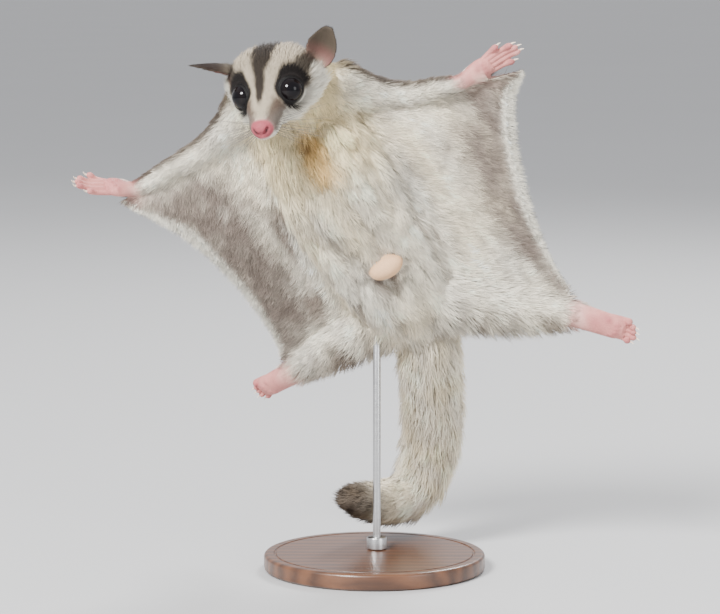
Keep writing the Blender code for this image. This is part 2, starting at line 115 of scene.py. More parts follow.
# Half width and half depth of a limb at its joints and halfway between them.
ARM_RADII = ((13.2, 10.5), (7.8, 7.2), (6.0, 5.6), (4.8, 4.4), (3.5, 3.2))
LEG_RADII = ((15.0, 12.5), (12.4, 10.5), (10.2, 8.4), (8.4, 6.2), (6.6, 4.4))
# How far a limb runs on into the body, and the size of that end.
LIMB_ROOT = 9.0
LIMB_ROOT_SHARE = 0.6

# Head outline: forward, half width, top, bottom, from the point FACE.
HEAD_OUTLINE = (
    (19.0, 1.6, -4.2, -7.0),
    (17.8, 3.2, -2.8, -8.8),
    (15.0, 4.9, -1.2, -10.4),
    (10.5, 6.8, 1.4, -11.6),
    (5.0, 9.6, 5.0, -12.6),
    (0.0, 13.2, 8.2, -13.4),
    (-5.0, 16.2, 10.4, -14.2),
    (-10.0, 18.4, 11.6, -15.0),
    (-15.0, 19.6, 11.8, -15.6),
    (-20.0, 18.8, 10.6, -15.6),
    (-25.0, 15.8, 7.6, -14.4),
    (-29.0, 11.0, 2.6, -11.4),
)
HEAD_RINGS = 60
# Below 1 the rings are fuller than an ellipse.
HEAD_CORNERS = 0.9

EYE_RADIUS = 5.3
EYE_CENTRE = (9.3, -2.2, -0.3)
# Which way the left eye looks, and half the angle that its lids leave open.
EYE_GAZE = (0.58, 0.70, 0.41)
EYE_OPENING_DEG = 60.0

# Ears: where they stand, which way they reach and which way the cup opens, in head axes.
EAR_ROOT = {"left": (17.8, -16.6, 1.2), "right": (-16.4, -15.6, 2.4)}
EAR_AXIS = {"left": (10.6, 1.0, 15.6), "right": (-12.0, 6.8, 10.8)}
EAR_FACING = {"left": (-0.15, 0.95, 0.10), "right": (-0.42, 0.62, -0.66)}
EAR_LENGTH = 19.5
EAR_HALF_WIDTHS = (3.6, 5.2, 6.1, 6.2, 5.4, 3.9, 1.5)
# Half the angle of the cup, its share at the root and the tip, and the dip of the root.
EAR_CUP_DEG = 62.0
EAR_CUP_SHARES = (1.25, 0.45)
EAR_ROOT_CURVE = 0.06
EAR_THICKNESS = 0.9
# Rows and columns of an ear, and the half width that its place across stands for.
EAR_GRID = (30, 21)
EAR_HALF_SPAN = 6.0

# Digits, first to last: reach of the root, place across, splay in degrees, length, radius.
HAND_DIGITS = (
    (9.5, 2.3, 14.0, 11.0, 1.15),
    (12.0, 2.2, 0.0, 13.2, 1.1),
    (12.0, 0.7, -2.0, 14.6, 1.1),
    (11.6, -1.1, -3.0, 14.8, 1.1),
    (10.0, -2.9, -6.0, 12.2, 1.1),
)
FOOT_DIGITS = (
    (16.0, 3.6, 4.0, 7.4, 1.5),
    (19.6, 2.0, 3.0, 5.8, 1.15),
    (19.8, 0.3, 0.0, 6.2, 1.15),
    (19.2, -1.6, -3.0, 7.4, 1.25),
    (17.6, -3.4, -6.0, 7.0, 1.2),
)
# Palm and sole: share of the whole length, half width, half depth.
PALM_ROWS = ((0.0, 3.2, 2.9), (0.14, 3.7, 2.9), (0.32, 4.5, 2.6), (0.42, 4.3, 2.1), (0.47, 3.3, 1.5))
SOLE_ROWS = ((0.0, 6.2, 4.2), (0.2, 5.4, 3.9), (0.45, 5.2, 3.2), (0.66, 5.0, 2.5), (0.76, 3.9, 1.7))
PAWS = {
    "hand": (WRIST, HAND_TIP, PALM_ROWS, HAND_DIGITS),
    "foot": (ANKLE, TOE_TIP, SOLE_ROWS, FOOT_DIGITS),
}
PAW_TURN_DEG = {"hand": {"left": 0.0, "right": 70.0}, "foot": {"left": 0.0, "right": 0.0}}
# How deep a digit starts in the palm, and its size there.
DIGIT_SINK = 2.0
DIGIT_ROOT_SIZE = 1.1
# Along a digit: share of its length, bend towards the palm, size.
DIGIT_SHAPE = ((0.30, -0.5, 1.0), (0.62, -0.7, 0.9), (0.88, -0.1, 1.05), (1.0, 0.3, 0.75))
CLAW_LENGTH = 2.4
CLAW_SINK = 0.4

# Free edge of each membrane, from the hand to the foot.
FREE_EDGE = {
    "left": (
        (59.6, -28.9, 208.8),
        (57.4, -26.3, 204.5),
        (55.5, -21.7, 196.8),
        (57.5, -15.8, 176.3),
        (63.8, -12.4, 151.3),
        (72.6, -8.7, 128.9),
        (80.6, -5.9, 115.4),
    ),
    "right": (
        (-105.0, -3.6, 153.8),
        (-92.6, -2.6, 147.6),
        (-78.3, 1.4, 138.8),
        (-68.1, 6.5, 129.8),
        (-52.6, 16.5, 110.8),
        (-40.8, 26.5, 91.6),
        (-38.8, 30.8, 83.9),
    ),
}
# Depth of a membrane's billow towards the back, and where its inner edge leaves arm and body.
MEMBRANE_BILLOW = 4.0
MEMBRANE_START = 0.18
MEMBRANE_DROP = 3.0
ARMPIT_DROP = 10.0
FLANK_INSET = 14.0
# The sheet of skin within the coat: its thickness, and where it ends before the free edge.
SHEET_THICKNESS = 1.1
SHEET_REACH = 0.955
SHEET_GRID = (64, 30)
# How far the sheet runs on into the body at the groin.
GROIN_REACH = 9.0
GROIN_SHARE = 0.75
GROIN_SPREAD = 0.09
# Half the depth of the membrane's outline, and the sizes that its two shares stand for.
SHEET_OUTLINE = 1.5
SHEET_DROP = 100.0
SHEET_SPAN = 60.0
# The lie of a membrane's hair: how far it leans to the tail, and from there to the left.
SHEET_LEAN = 0.45
SHEET_SIDE_LEAN = 0.3

SCROTUM_CENTRE = (4.6, -16.4, 128.0)
SCROTUM_HALF_SIZE = (7.6, 4.6, 5.2)

# Depth of coat between the outline and the skin.
COAT_DEPTH = {"head": 1.2, "neck": 2.6, "trunk": 3.8, "tail": 5.4, "arm": 1.7, "leg": 2.2, "paw": 0.1}

# Size of the skin's faces, and the start of every random draw.
VOXEL = 0.66
SEED = 7


# Numbers and curves

# Factors that scramble a lattice cell: three axes, the seed and two steps of mixing.
SCRAMBLE = (73856093, 19349663, 83492791, 26544357, 1274126177, 2246822519)
LOW_BITS = 0xFFFFFFFF


def unit(vectors):
    return vectors / np.linalg.norm(vectors, axis=-1, keepdims=True).clip(1e-9)


def norms(vectors):
    return np.linalg.norm(vectors, axis=1)


def dot(a, b):
    return (a * b).sum(-1)


def ramp(value, low, high):
    """0 at low, 1 at high, eased between them."""
    share = np.clip((value - low) / (high - low), 0.0, 1.0)
    return share * share * (3 - 2 * share)


def bell(value, width):
    """1 at 0, falling away smoothly over the width."""
    return np.exp(-((value / width) ** 2))


def smooth_rows(rows, count):
    """count rows read evenly from a smooth curve through the given rows."""
    rows = np.array(rows, float)
    ends = np.vstack([2 * rows[0] - rows[1], rows, 2 * rows[-1] - rows[-2]])
    place = np.linspace(0, len(rows) - 1, count)
    i = np.minimum(place.astype(int), len(rows) - 2)
    t = (place - i)[:, None]
    a, b, c, d = ends[i], ends[i + 1], ends[i + 2], ends[i + 3]
    squared, cubed = 2 * a - 5 * b + 4 * c - d, 3 * b - a - 3 * c + d
    return 0.5 * (2 * b + (c - a) * t + squared * t**2 + cubed * t**3)


def soft_noise(points, seed):
    """Smooth noise from -1 to 1 on a lattice one unit wide."""
    low = np.floor(points).astype(np.int64)
    t = points - low
    t = t * t * (3 - 2 * t)
    total = np.zeros(len(points))
    for corner in itertools.product((0, 1), repeat=3):
        code = seed * SCRAMBLE[3]
        for cell, factor in zip((low + corner).T, SCRAMBLE):
            code = code ^ cell * factor
        code = (code & LOW_BITS) * SCRAMBLE[4] & LOW_BITS
        code = ((code ^ code >> 15) * SCRAMBLE[5]) & LOW_BITS
        weight = np.where(np.array(corner) == 1, t, 1 - t).prod(1)
        total += weight * ((code >> 8 & 0xFFFF) / 32767.5 - 1)
    return total


def to_capsule(points, start, end):
    """Distance from each point to the line between two others."""
    start, end = np.array(start, float), np.array(end, float)
    share = np.clip(dot(points - start, end - start) / dot(end - start, end - start), 0, 1)
    return norms(points - start - share[:, None] * (end - start))


def turned(vector, axis, degrees):
    """The vector turned about a unit axis."""
    angle = math.radians(degrees)
    kept = axis * dot(axis, vector) * (1 - math.cos(angle))
    return vector * math.cos(angle) + np.cross(axis, vector) * math.sin(angle) + kept


def tree_of(points):
    """A search tree that gives the number of the nearest point."""
    tree = KDTree(len(points))
    for number, point in enumerate(points):
        tree.insert(point, number)
    tree.balance()
    return tree


def nearest(tree, points):
    return np.array([tree.find(point)[1] for point in points])


def body_axes():
    """(left, headward, ventral) of the trunk."""
    headward = unit(np.subtract(NECK_BASE, PELVIS))
    left = np.subtract(SHOULDER["left"], SHOULDER["right"])
    left = unit(left - headward * dot(left, headward))
    return left, headward, unit(np.cross(left, headward))


def head_axes():
    """(left, forward, up) of the head."""
    axes = []
    for axis in ((1.0, 0.0, 0.0), (0.0, -1.0, 0.0), (0.0, 0.0, 1.0)):
        axis = turned(np.array(axis), np.array((1.0, 0.0, 0.0)), HEAD_PITCH_DEG)
        axis = turned(axis, np.array((0.0, 0.0, 1.0)), -HEAD_YAW_DEG)
        axes.append(turned(axis, np.array((0.0, 1.0, 0.0)), -HEAD_ROLL_DEG))
    return np.array(axes)


BODY_LEFT, BODY_HEADWARD, BODY_VENTRAL = body_axes()
BODY_AXES = np.stack([BODY_LEFT, BODY_HEADWARD, BODY_VENTRAL], 1)
HEAD_AXES = head_axes()


def head_point(local):
    return np.array(FACE) + np.array(local) @ HEAD_AXES


def in_head(points):
    """Left, forward and up of each point from the point FACE."""
    return (points - FACE) @ HEAD_AXES.T


# Forms that the skin is made of

# The most that a form's ends are drawn in, and how many points are placed at a time.
END_INSET = 1.5
BLOCK = 20000


class Loft:
    """A closed form along a centre line, with elliptical rings."""

    # What one unit of reach stands for.
    span = 1.0

    def __init__(self, centre, radii, facing, axes=None, corners=1.0):
        self.centre, self.radii, self.corners = centre, radii, corners
        self.cloud, self.girth = centre, radii.max()
        if axes is None:
            ends = np.vstack([centre[:1], centre, centre[-1:]])
            self.along = unit(ends[2:] - ends[:-2])
            self.depth = unit(facing - self.along * dot(self.along, facing)[:, None])
        else:
            self.along, self.depth = (np.tile(axis, (len(centre), 1)) for axis in axes)
        self.width = np.cross(self.along, self.depth)
        steps = norms(np.diff(centre, axis=0))
        self.reach = np.concatenate([[0], np.cumsum(steps)])

    def rings(self, sides, inset):
        """Rings drawn in by the inset, with the end rings moved in as well."""
        turn = 2 * np.pi * np.arange(sides) / sides
        cos, sin = (np.sign(v) * np.abs(v) ** self.corners for v in (np.cos(turn), np.sin(turn)))
        radii = np.maximum(self.radii - inset, 0.35 * self.radii)
        across = self.width[:, None] * cos[None, :, None] * radii[:, None, :1]
        out = self.depth[:, None] * sin[None, :, None] * radii[:, None, 1:]
        rings = self.centre[:, None] + across + out
        depths = np.ravel(inset)
        rings[0] += self.along[0] * min(depths[0], END_INSET)
        rings[-1] -= self.along[-1] * min(depths[-1], END_INSET)
        return rings

    def place(self, points):
        """(way of the hair, reach, place across, turn, height over the surface) of each point."""
        row = np.empty(len(points), int)
        for start in range(0, len(points), BLOCK):
            block = points[start : start + BLOCK]
            row[start : start + BLOCK] = ((block[:, None] - self.centre[None]) ** 2).sum(2).argmin(1)
        offset = points - self.centre[row]
        across = dot(offset, self.width[row]) / self.radii[row, 0]
        out = dot(offset, self.depth[row]) / self.radii[row, 1]
        ahead = dot(offset, self.along[row])
        beyond = np.abs(ahead) - 1.0
        radius = self.radii[row].mean(1)
        height = (np.hypot(across, out) - 1) * radius
        height = np.where(beyond > 0, np.hypot(np.maximum(height, 0), beyond), height)
        turn = np.arctan2(out, across)
        return self.along[row], self.reach[row] + ahead, turn * radius, turn, height

    def unrolled(self, reach, _, turn):
        """Places on the form rolled out flat."""
        return np.stack([turn / (2 * np.pi) + 0.5, reach / self.reach[-1]], 1)


def closed_mesh(rings):
    """Points and faces of a tube of rings with both ends closed."""
    count, sides = rings.shape[:2]
    grid = np.arange(count * sides).reshape(count, sides)
    nxt = np.roll(grid, -1, axis=1)
    walls = np.stack([grid[:-1], nxt[:-1], nxt[1:], grid[1:]], -1).reshape(-1, 4)
    return rings.reshape(-1, 3), [*walls.tolist(), grid[0][::-1].tolist(), grid[-1].tolist()]


def make_loft(rows, count, facing):
    rows = smooth_rows(rows, count)
    return Loft(rows[:, :3], rows[:, 3:5], facing)


def limb_loft(joints, radii):
    joints = [np.array(joint) for joint in joints]
    points = [joints[0] + unit(joints[0] - joints[1]) * LIMB_ROOT]
    for a, b in zip(joints, joints[1:]):
        points += [a, (a + b) / 2]
    points.append(joints[-1])
    root = [LIMB_ROOT_SHARE * radius for radius in radii[0]]
    rows = [(*point, *pair) for point, pair in zip(points, [root, *radii])]
    return make_loft(rows, 60, BODY_VENTRAL)


def head_loft():
    rows = smooth_rows(HEAD_OUTLINE, HEAD_RINGS)
    _, forward, up = HEAD_AXES
    middle, half_height = (rows[:, 2] + rows[:, 3]) / 2, (rows[:, 2] - rows[:, 3]) / 2
    centre = np.array(FACE) + forward * rows[:, :1] + up * middle[:, None]
    radii = np.stack([rows[:, 1], half_height], 1)
    return Loft(centre, radii, up, axes=(-forward, up), corners=HEAD_CORNERS)


def paw_axes(kind, side):
    """(along, towards the first digit, palm side) of a hand or foot."""
    start, tip = np.array(PAWS[kind][0][side]), np.array(PAWS[kind][1][side])
    along = unit(tip - start)
    palm = unit(BODY_VENTRAL - along * dot(BODY_VENTRAL, along))
    palm = turned(palm, along, PAW_TURN_DEG[kind][side])
    first = np.cross(palm, along) if side == "left" else np.cross(along, palm)
    return along, unit(first), palm


def digit_line(kind, side, number):
    """Rows along one digit, then where its claw starts, its heading and the palm's side."""
    along, first, palm = paw_axes(kind, side)
    reach, across, splay, length, radius = PAWS[kind][3][number]
    splay = math.radians(splay)
    heading = along * math.cos(splay) + first * math.sin(splay)
    root = np.array(PAWS[kind][0][side]) + along * reach + first * across
    shape = [(-DIGIT_SINK, 0.0, DIGIT_ROOT_SIZE)]
    shape += [(share * length, bend, size) for share, bend, size in DIGIT_SHAPE]
    rows = []
    for step, bend, size in shape:
        rows.append((*(root + heading * step + palm * bend), radius * size, radius * size))
    return rows, root + heading * (length - CLAW_SINK), heading, palm


def paw_lofts(kind, side):
    start, tip, outline, digits = PAWS[kind]
    along, _, palm = paw_axes(kind, side)
    start, tip = np.array(start[side]), np.array(tip[side])
    length = np.linalg.norm(tip - start)
    rows = [(*(start + along * (share * length - 1.0)), w, d) for share, w, d in outline]
    lofts = [make_loft(rows, 30, palm)]
    for number in range(len(digits)):
        lofts.append(make_loft(digit_line(kind, side, number)[0], 24, palm))
    return lofts


def quads(grid):
    corners = [grid[:-1, :-1], grid[:-1, 1:], grid[1:, 1:], grid[1:, :-1]]
    return np.stack(corners, -1).reshape(-1, 4).tolist()


def thick_sheet(middle, normal, half):
    """Points and faces of a closed sheet, half its thickness to each side of a grid of points."""
    points = np.stack([middle + normal * half, middle - normal * half]).reshape(-1, 3)
    front = np.arange(len(points) // 2).reshape(middle.shape[:2])
    back = front + front.size
    faces = [*quads(front), *(face[::-1] for face in quads(back))]
    for edge in (np.s_[0], np.s_[-1], np.s_[:, 0], np.s_[:, -1]):
        line, other = front[edge], back[edge]
        faces += [[a, b, d, c] for a, b, c, d in zip(line, line[1:], other, other[1:])]
    return points, faces


def two_sided(share, side, reach):
    """Places on a leaf rolled out flat, one side beside the other."""
    half = 0.5 * np.clip(share, 0, 1)
    return np.stack([np.where(side > 0, half, 0.5 + half), reach], 1)


class Sheet:
    """A gliding membrane: its middle surface, from the body out to the free edge."""

    span, girth = SHEET_SPAN, 0.0

    def __init__(self, side):
        flank = BODY_LEFT * (1 if side == "left" else -1)
        wrist, elbow = np.array(WRIST[side]), np.array(ELBOW[side])
        inner = [
            wrist + (elbow - wrist) * MEMBRANE_START - BODY_HEADWARD * MEMBRANE_DROP,
            elbow,
            np.array(SHOULDER[side]) - BODY_HEADWARD * ARMPIT_DROP,
            np.array(CHEST) + flank * FLANK_INSET,
            np.array(WAIST) + flank * FLANK_INSET,
            KNEE[side],
            ANKLE[side],
        ]
        spans, columns = SHEET_GRID
        inner, outer = (smooth_rows(line, spans + 1)[:, None] for line in (inner, FREE_EDGE[side]))
        self.share = np.linspace(0, 1, spans + 1)[:, None] * np.ones(columns + 1)
        self.out = np.linspace(0, 1, columns + 1) * np.ones((spans + 1, 1))
        lift = MEMBRANE_BILLOW * np.sin(np.pi * self.share) * np.sin(np.pi * self.out)
        self.points = inner + (outer - inner) * self.out[..., None] - lift[..., None] * BODY_VENTRAL
        self.outward = unit(np.gradient(self.points, axis=1))
        self.down = unit(np.gradient(self.points, axis=0))
        normal = unit(np.cross(self.outward, self.down))
        self.normal = normal * np.sign(dot(normal, BODY_VENTRAL))[..., None]
        self.width = np.linalg.norm(outer - inner, axis=-1) * np.ones(columns + 1)
        self.cloud = self.points.reshape(-1, 3)
        self.tree = tree_of(self.cloud)

    def shell(self):
        """Points and faces of the closed sheet of skin."""
        wide = int(round(SHEET_GRID[1] * SHEET_REACH)) + 1
        middle = self.points[:, :wide].copy()
        at_groin = bell(self.share[:, :1] - GROIN_SHARE, GROIN_SPREAD)
        middle[:, 0] -= self.outward[:, 0] * (GROIN_REACH * at_groin)
        return thick_sheet(middle, self.normal[:, :wide], 0.5 * SHEET_THICKNESS)

    def place(self, points):
        """(way of the hair, share of the way out, place across, side, height over the outline)."""
        near = nearest(self.tree, points)
        middle, normal, outward, down = (
            grid.reshape(-1, 3)[near] for grid in (self.points, self.normal, self.outward, self.down)
        )
        aside = points - middle
        over = dot(aside, normal)
        apart = norms(aside - normal * over[:, None])
        share = self.out.ravel()[near] + dot(aside, outward) / self.width.ravel()[near]
        across = self.share.ravel()[near] * SHEET_DROP + dot(aside, down)
        way = unit(outward + SHEET_LEAN * unit(SHEET_SIDE_LEAN * BODY_LEFT - BODY_HEADWARD))
        height = np.hypot(over, np.maximum(apart - SHEET_OUTLINE, 0)) - SHEET_OUTLINE
        return way, share, across, over, height

    def unrolled(self, reach, across, side):
        return two_sided(across / SHEET_DROP, side, reach)


class Ear:
    """An ear as a cupped leaf."""

    span, girth = EAR_LENGTH, 0.0

    def __init__(self, side):
        rows, columns = EAR_GRID
        root = head_point(EAR_ROOT[side])
        axis = unit(np.array(EAR_AXIS[side]) @ HEAD_AXES)
        facing = np.array(EAR_FACING[side]) @ HEAD_AXES
        facing = unit(facing - axis * dot(facing, axis))
        across = np.cross(axis, facing)
        half_width = smooth_rows([(w,) for w in EAR_HALF_WIDTHS], rows)
        self.share = np.linspace(0, 1, rows)[:, None]
        at_root, at_tip = EAR_CUP_SHARES
        cup = np.radians(EAR_CUP_DEG * (at_root + (at_tip - at_root) * self.share))
        turn = cup * np.linspace(-1, 1, columns)
        bend = half_width / np.sin(cup)
        reach = self.share - EAR_ROOT_CURVE * (1 - self.share) * np.cos(turn)
        self.points = root + reach[..., None] * axis * EAR_LENGTH
        self.points += (bend * np.sin(turn))[..., None] * across
        self.points -= (bend * (np.cos(turn) - np.cos(cup)))[..., None] * facing
        self.along = unit(np.gradient(self.points, axis=0))
        normal = unit(np.cross(self.along, np.gradient(self.points, axis=1)))
        self.normal = normal * np.sign(dot(normal, facing))[..., None]
        self.aside = np.linspace(-1, 1, columns) * np.ones((rows, 1))
        self.share = self.share * np.ones(columns)
        self.cloud = self.points.reshape(-1, 3)
        self.tree = tree_of(self.cloud)

    def shell(self):
        """Points and faces of the closed leaf, thinner at its tip."""
        half = 0.5 * EAR_THICKNESS * (1 - 0.3 * self.share[..., None])
        return thick_sheet(self.points, self.normal, half)

    def place(self, points):
        """(way of the hair, share of the length, place across, side, height over the surface)."""
        near = nearest(self.tree, points)
        aside = points - self.cloud[near]
        over = dot(aside, self.normal.reshape(-1, 3)[near])
        across = self.aside.ravel()[near] * EAR_HALF_SPAN
        way = self.along.reshape(-1, 3)[near]
        return way, self.share.ravel()[near], across, over, norms(aside) - 0.6

    def unrolled(self, reach, across, side):
        return two_sided(across / (2 * EAR_HALF_SPAN) + 0.5, side, reach)


HEAD = head_loft()
NECK = make_loft(NECK_ROWS, 40, BODY_VENTRAL)
TRUNK = make_loft(TRUNK_ROWS, 80, BODY_VENTRAL)
TAIL = make_loft(TAIL_ROWS, 140, np.array((1.0, 0.0, 0.0)))
ARMS = {s: limb_loft((SHOULDER[s], ELBOW[s], WRIST[s]), ARM_RADII) for s in SIDES}
LEGS = {s: limb_loft((HIP[s], KNEE[s], ANKLE[s]), LEG_RADII) for s in SIDES}
PAW_LOFTS = {(kind, s): paw_lofts(kind, s) for kind in PAWS for s in SIDES}
SHEETS = {s: Sheet(s) for s in SIDES}
EARS = {s: Ear(s) for s in SIDES}

# The forms of each zone of the skin.
ZONES = {
    "head": [HEAD],
    "neck": [NECK],
    "trunk": [TRUNK],
    "tail": [TAIL],
    **{f"arm_{s}": [ARMS[s]] for s in SIDES},
    **{f"leg_{s}": [LEGS[s]] for s in SIDES},
    **{f"{kind}_{s}": PAW_LOFTS[kind, s] for kind in PAWS for s in SIDES},
    **{f"membrane_{s}": [SHEETS[s]] for s in SIDES},
    **{f"ear_{s}": [EARS[s]] for s in SIDES},
}
ZONE_NAMES = list(ZONES)
# Height of a form that is too far to count, the reach of the mixing, and the margin of a form's box.
FAR = 99.0
BLEND_WIDTH = 1.8
BOX_MARGIN = 9


def zone_kind(name):
    return name.split("_")[0]


# The head's own shapes, in head axes


def head_surface(forward, turn_deg, inset=0.0):
    """A point of the head's outline: how far forward, and the turn from its left side upward."""
    rows = smooth_rows(HEAD_OUTLINE, HEAD_RINGS)[::-1]
    width, top, low = (np.interp(forward, rows[:, 0], rows[:, k]) for k in (1, 2, 3))
    turn = math.radians(turn_deg)
    up = (top + low) / 2 + ((top - low) / 2 - inset) * math.sin(turn)
    return np.array(((width - inset) * math.cos(turn), forward, up))


def mirrored(point, sign):
    return np.array(point) * (sign, 1, 1)


NOSE_CENTRE = (0.0, 16.2, -5.3)
NOSE_RADII = (3.7, 3.1, 3.3)
NOSTRIL = ((1.5, 19.0, -6.2), (2.9, 17.9, -4.7))
PHILTRUM = ((0.0, 19.6, -5.4), (0.0, 17.6, -8.9))
WHISKER_PAD = (3.6, 12.6, -7.4)
# The mouth: how far forward, and the turn from the side downward.
MOUTH_TURNS = ((17.2, -88.0), (15.0, -66.0), (11.0, -55.0), (6.0, -46.0), (1.0, -38.0))
MOUTH_DEPTH, LIP_HEIGHT = 0.62, 0.25
NOSTRIL_DEPTH, PHILTRUM_DEPTH, PAD_HEIGHT = 1.25, 0.5, 0.75
# Lids: their gap over the eyeball, the height of their rim, and the skin's gap behind the ball.
LID_GAP, LID_RIM, SOCKET_GAP = 0.30, 0.28, 0.8
# Where the rim's middle lies outside the opening, its width, and where the lids end in the face.
RIM_PLACE_DEG, RIM_WIDTH_DEG, LID_END_DEG = 4.5, 3.5, 34
LID_FADE = (9.0, 12.0)
INNER_CORNER = (-0.8, 0.5, -0.35)


def mouth_line(sign):
    return [mirrored(head_surface(forward, turn, 0.6), sign) for forward, turn in MOUTH_TURNS]


def to_line(points, line):
    return np.min([to_capsule(points, a, b) for a, b in zip(line, line[1:])], axis=0)


def to_pair(points, ends, sign):
    """Distance to the line between two points of the left side, or of their mirror images."""
    return to_capsule(points, *(mirrored(end, sign) for end in ends))


def sculpt_eye(local, sign):
    """Lids that hug the eyeball: the skin goes behind it inside the opening and over it outside."""
    centre, gaze = mirrored(EYE_CENTRE, sign), unit(mirrored(EYE_GAZE, sign))
    offset = local - centre
    reach = norms(offset)
    angle = np.degrees(np.arccos(np.clip(dot(offset, gaze) / reach.clip(1e-6), -1, 1)))
    nose_side = dot(unit(offset), unit(mirrored(INNER_CORNER, sign)))
    opening = EYE_OPENING_DEG + 5.0 * ramp(nose_side, 0.75, 0.98)
    rim = EYE_RADIUS + LID_GAP + LID_RIM * bell(angle - opening - RIM_PLACE_DEG, RIM_WIDTH_DEG)
    away = ramp(angle, opening + 3, opening + LID_END_DEG)
    wanted = rim * (1 - away) + reach * away
    covered = ramp(angle, opening - 5.5, opening - 0.5)
    wanted = (EYE_RADIUS - SOCKET_GAP) * (1 - covered) + wanted * covered
    strength = 1 - ramp(reach, *LID_FADE)
    return local + unit(offset) * ((wanted - reach) * strength)[:, None]


def sculpt_head(points, normals):
    """Nose, nostrils, whisker pads, mouth and lids."""
    local = in_head(points)
    push = normals @ HEAD_AXES.T
    for sign in (1, -1):
        pad = norms(local - mirrored(WHISKER_PAD, sign))
        local = local + push * (PAD_HEIGHT * bell(pad, 3.4))[:, None]
    centre, radii = np.array(NOSE_CENTRE), np.array(NOSE_RADII)
    offset = (local - centre) / radii
    size = norms(offset)
    front = ramp(local[:, 1], 13.2, 15.4)
    grown = centre + offset / size.clip(0.2, 1.0)[:, None] * radii
    local = local + (grown - local) * front[:, None]
    for sign in (1, -1):
        hole = to_pair(local, NOSTRIL, sign)
        local = local - unit(local - centre) * (NOSTRIL_DEPTH * bell(hole, 0.62))[:, None]
        lip = to_line(local, mouth_line(sign))
        dent = MOUTH_DEPTH * bell(lip, 0.42) - LIP_HEIGHT * bell(lip - 1.2, 0.7)
        local = local - push * dent[:, None]
    groove = to_capsule(local, *PHILTRUM)
    local = local - push * (PHILTRUM_DEPTH * bell(groove, 0.4))[:, None]
    for sign in (1, -1):
        local = sculpt_eye(local, sign)
    return np.array(FACE) + local @ HEAD_AXES


# Mesh helpers


def numbers(items, name, width=1, kind=np.float32):
    found = np.empty(len(items) * width, kind)
    items.foreach_get(name, found)
    return found.reshape(-1, width) if width > 1 else found


def new_object(name, mesh, material):
    obj = bpy.data.objects.new(name, mesh)
    mesh.materials.append(material)
    mesh.shade_smooth()
    bpy.context.scene.collection.objects.link(obj)
    return obj


def edited(mesh, change):
    """Runs a change on the mesh's corners, edges and faces."""
    bm = bmesh.new()
    bm.from_mesh(mesh)
    change(bm)
    bm.to_mesh(mesh)
    bm.free()


def flat_floats(values):
    return np.asarray(values, np.float32).ravel()


def mesh_of(name, points, faces):
    mesh = bpy.data.meshes.new(name)
    mesh.from_pydata((np.asarray(points) * MM).tolist(), [], faces)
    return mesh


def joined(shells):
    """One list of points and faces from several."""
    points, faces, start = [], [], 0
    for some, corners in shells:
        points.append(np.asarray(some, float))
        faces += [[start + corner for corner in face] for face in corners]
        start += len(some)
    return np.concatenate(points), faces


def paint(mesh, name, values):
    """A colour for each vertex."""
    layer = mesh.attributes.new(name, "FLOAT_COLOR", "POINT")
    layer.data.foreach_set("color", flat_floats(np.column_stack([values, np.ones(len(values))])))


def write_values(mesh, name, values):
    """A number, or a vector, for each vertex."""
    kind, field = ("FLOAT", "value") if values.ndim == 1 else ("FLOAT_VECTOR", "vector")
    layer = mesh.attributes.new(name, kind, "POINT")
    layer.data.foreach_set(field, flat_floats(values))


def neighbour_mean(values, edges):
    """The mean of each vertex's neighbours."""
    count = np.bincount(edges.ravel(), minlength=len(values)).clip(1)
    mean = np.empty_like(values)
    for k in range(values.shape[1]):
        forth = np.bincount(edges[:, 0], values[edges[:, 1], k], len(values))
        mean[:, k] = (forth + np.bincount(edges[:, 1], values[edges[:, 0], k], len(values))) / count
    return mean


def relaxed(points, edges, amount, times):
    """Points evened out along the edges, without shrinking."""
    for turn in range(times):
        step = 0.55 if turn % 2 == 0 else -0.5
        points = points + (neighbour_mean(points, edges) - points) * (amount * step)[:, None]
    return points


def eased(values, edges, amount, times):
    """Values spread along the edges."""
    for _ in range(times):
        values = values + (neighbour_mean(values, edges) - values) * amount[:, None]
    return values


# Where each point of the skin lies


class Survey:
    """For each point: how near each form is, the lie of the hair, and the place on its form."""

    def __init__(self, points, normals):
        count = len(points)
        self.height = np.full((len(ZONES), count), FAR)
        self.reach, self.across, self.turn = np.zeros((3, len(ZONES), count))
        self.flow = np.zeros((count, 3))
        flows = []
        for number, forms in enumerate(ZONES.values()):
            flow = np.zeros((count, 3))
            for form in forms:
                near = self.near(points, form)
                if not len(near):
                    continue
                way, reach, across, turn, height = form.place(points[near])
                chosen = height < self.height[number, near]
                closer = near[chosen]
                self.height[number, closer] = height[chosen]
                self.reach[number, closer] = reach[chosen]
                self.across[number, closer] = across[chosen]
                self.turn[number, closer] = turn[chosen]
                flow[closer] = way[chosen]
            flows.append(flow)
        self.zone = self.height.argmin(0)
        self.own = (self.zone, np.arange(count))
        lowest = self.height.min(0)
        self.weight = np.exp(-(self.height - lowest) / BLEND_WIDTH)
        self.weight /= self.weight.sum(0)
        for flow, weight in zip(flows, self.weight):
            self.flow += flow * weight[:, None]
        self.settle(normals)

    @staticmethod
    def near(points, form):
        """Which points lie in the form's box, widened a little."""
        margin = form.girth + BOX_MARGIN
        low, high = form.cloud.min(0) - margin, form.cloud.max(0) + margin
        return np.nonzero(((points > low) & (points < high)).all(1))[0]

    def settle(self, normals):
        """Lays the flow down into the surface."""
        self.flow = unit(self.flow - normals * dot(self.flow, normals)[:, None])

    def comb_away(self, away, strength, least):
        """Turns the flow so that it leads away."""
        inward = np.minimum(dot(self.flow, away), 0) - least
        self.flow = self.flow - away * (inward * strength)[:, None]

    def of(self, name):
        return self.weight[ZONE_NAMES.index(name)]

    def hair(self, column):
        """One measure of the hair, mixed by nearness."""
        values = (HAIR[zone_kind(name)][column] for name in ZONE_NAMES)
        return sum(value * weight for value, weight in zip(values, self.weight))


# Markings


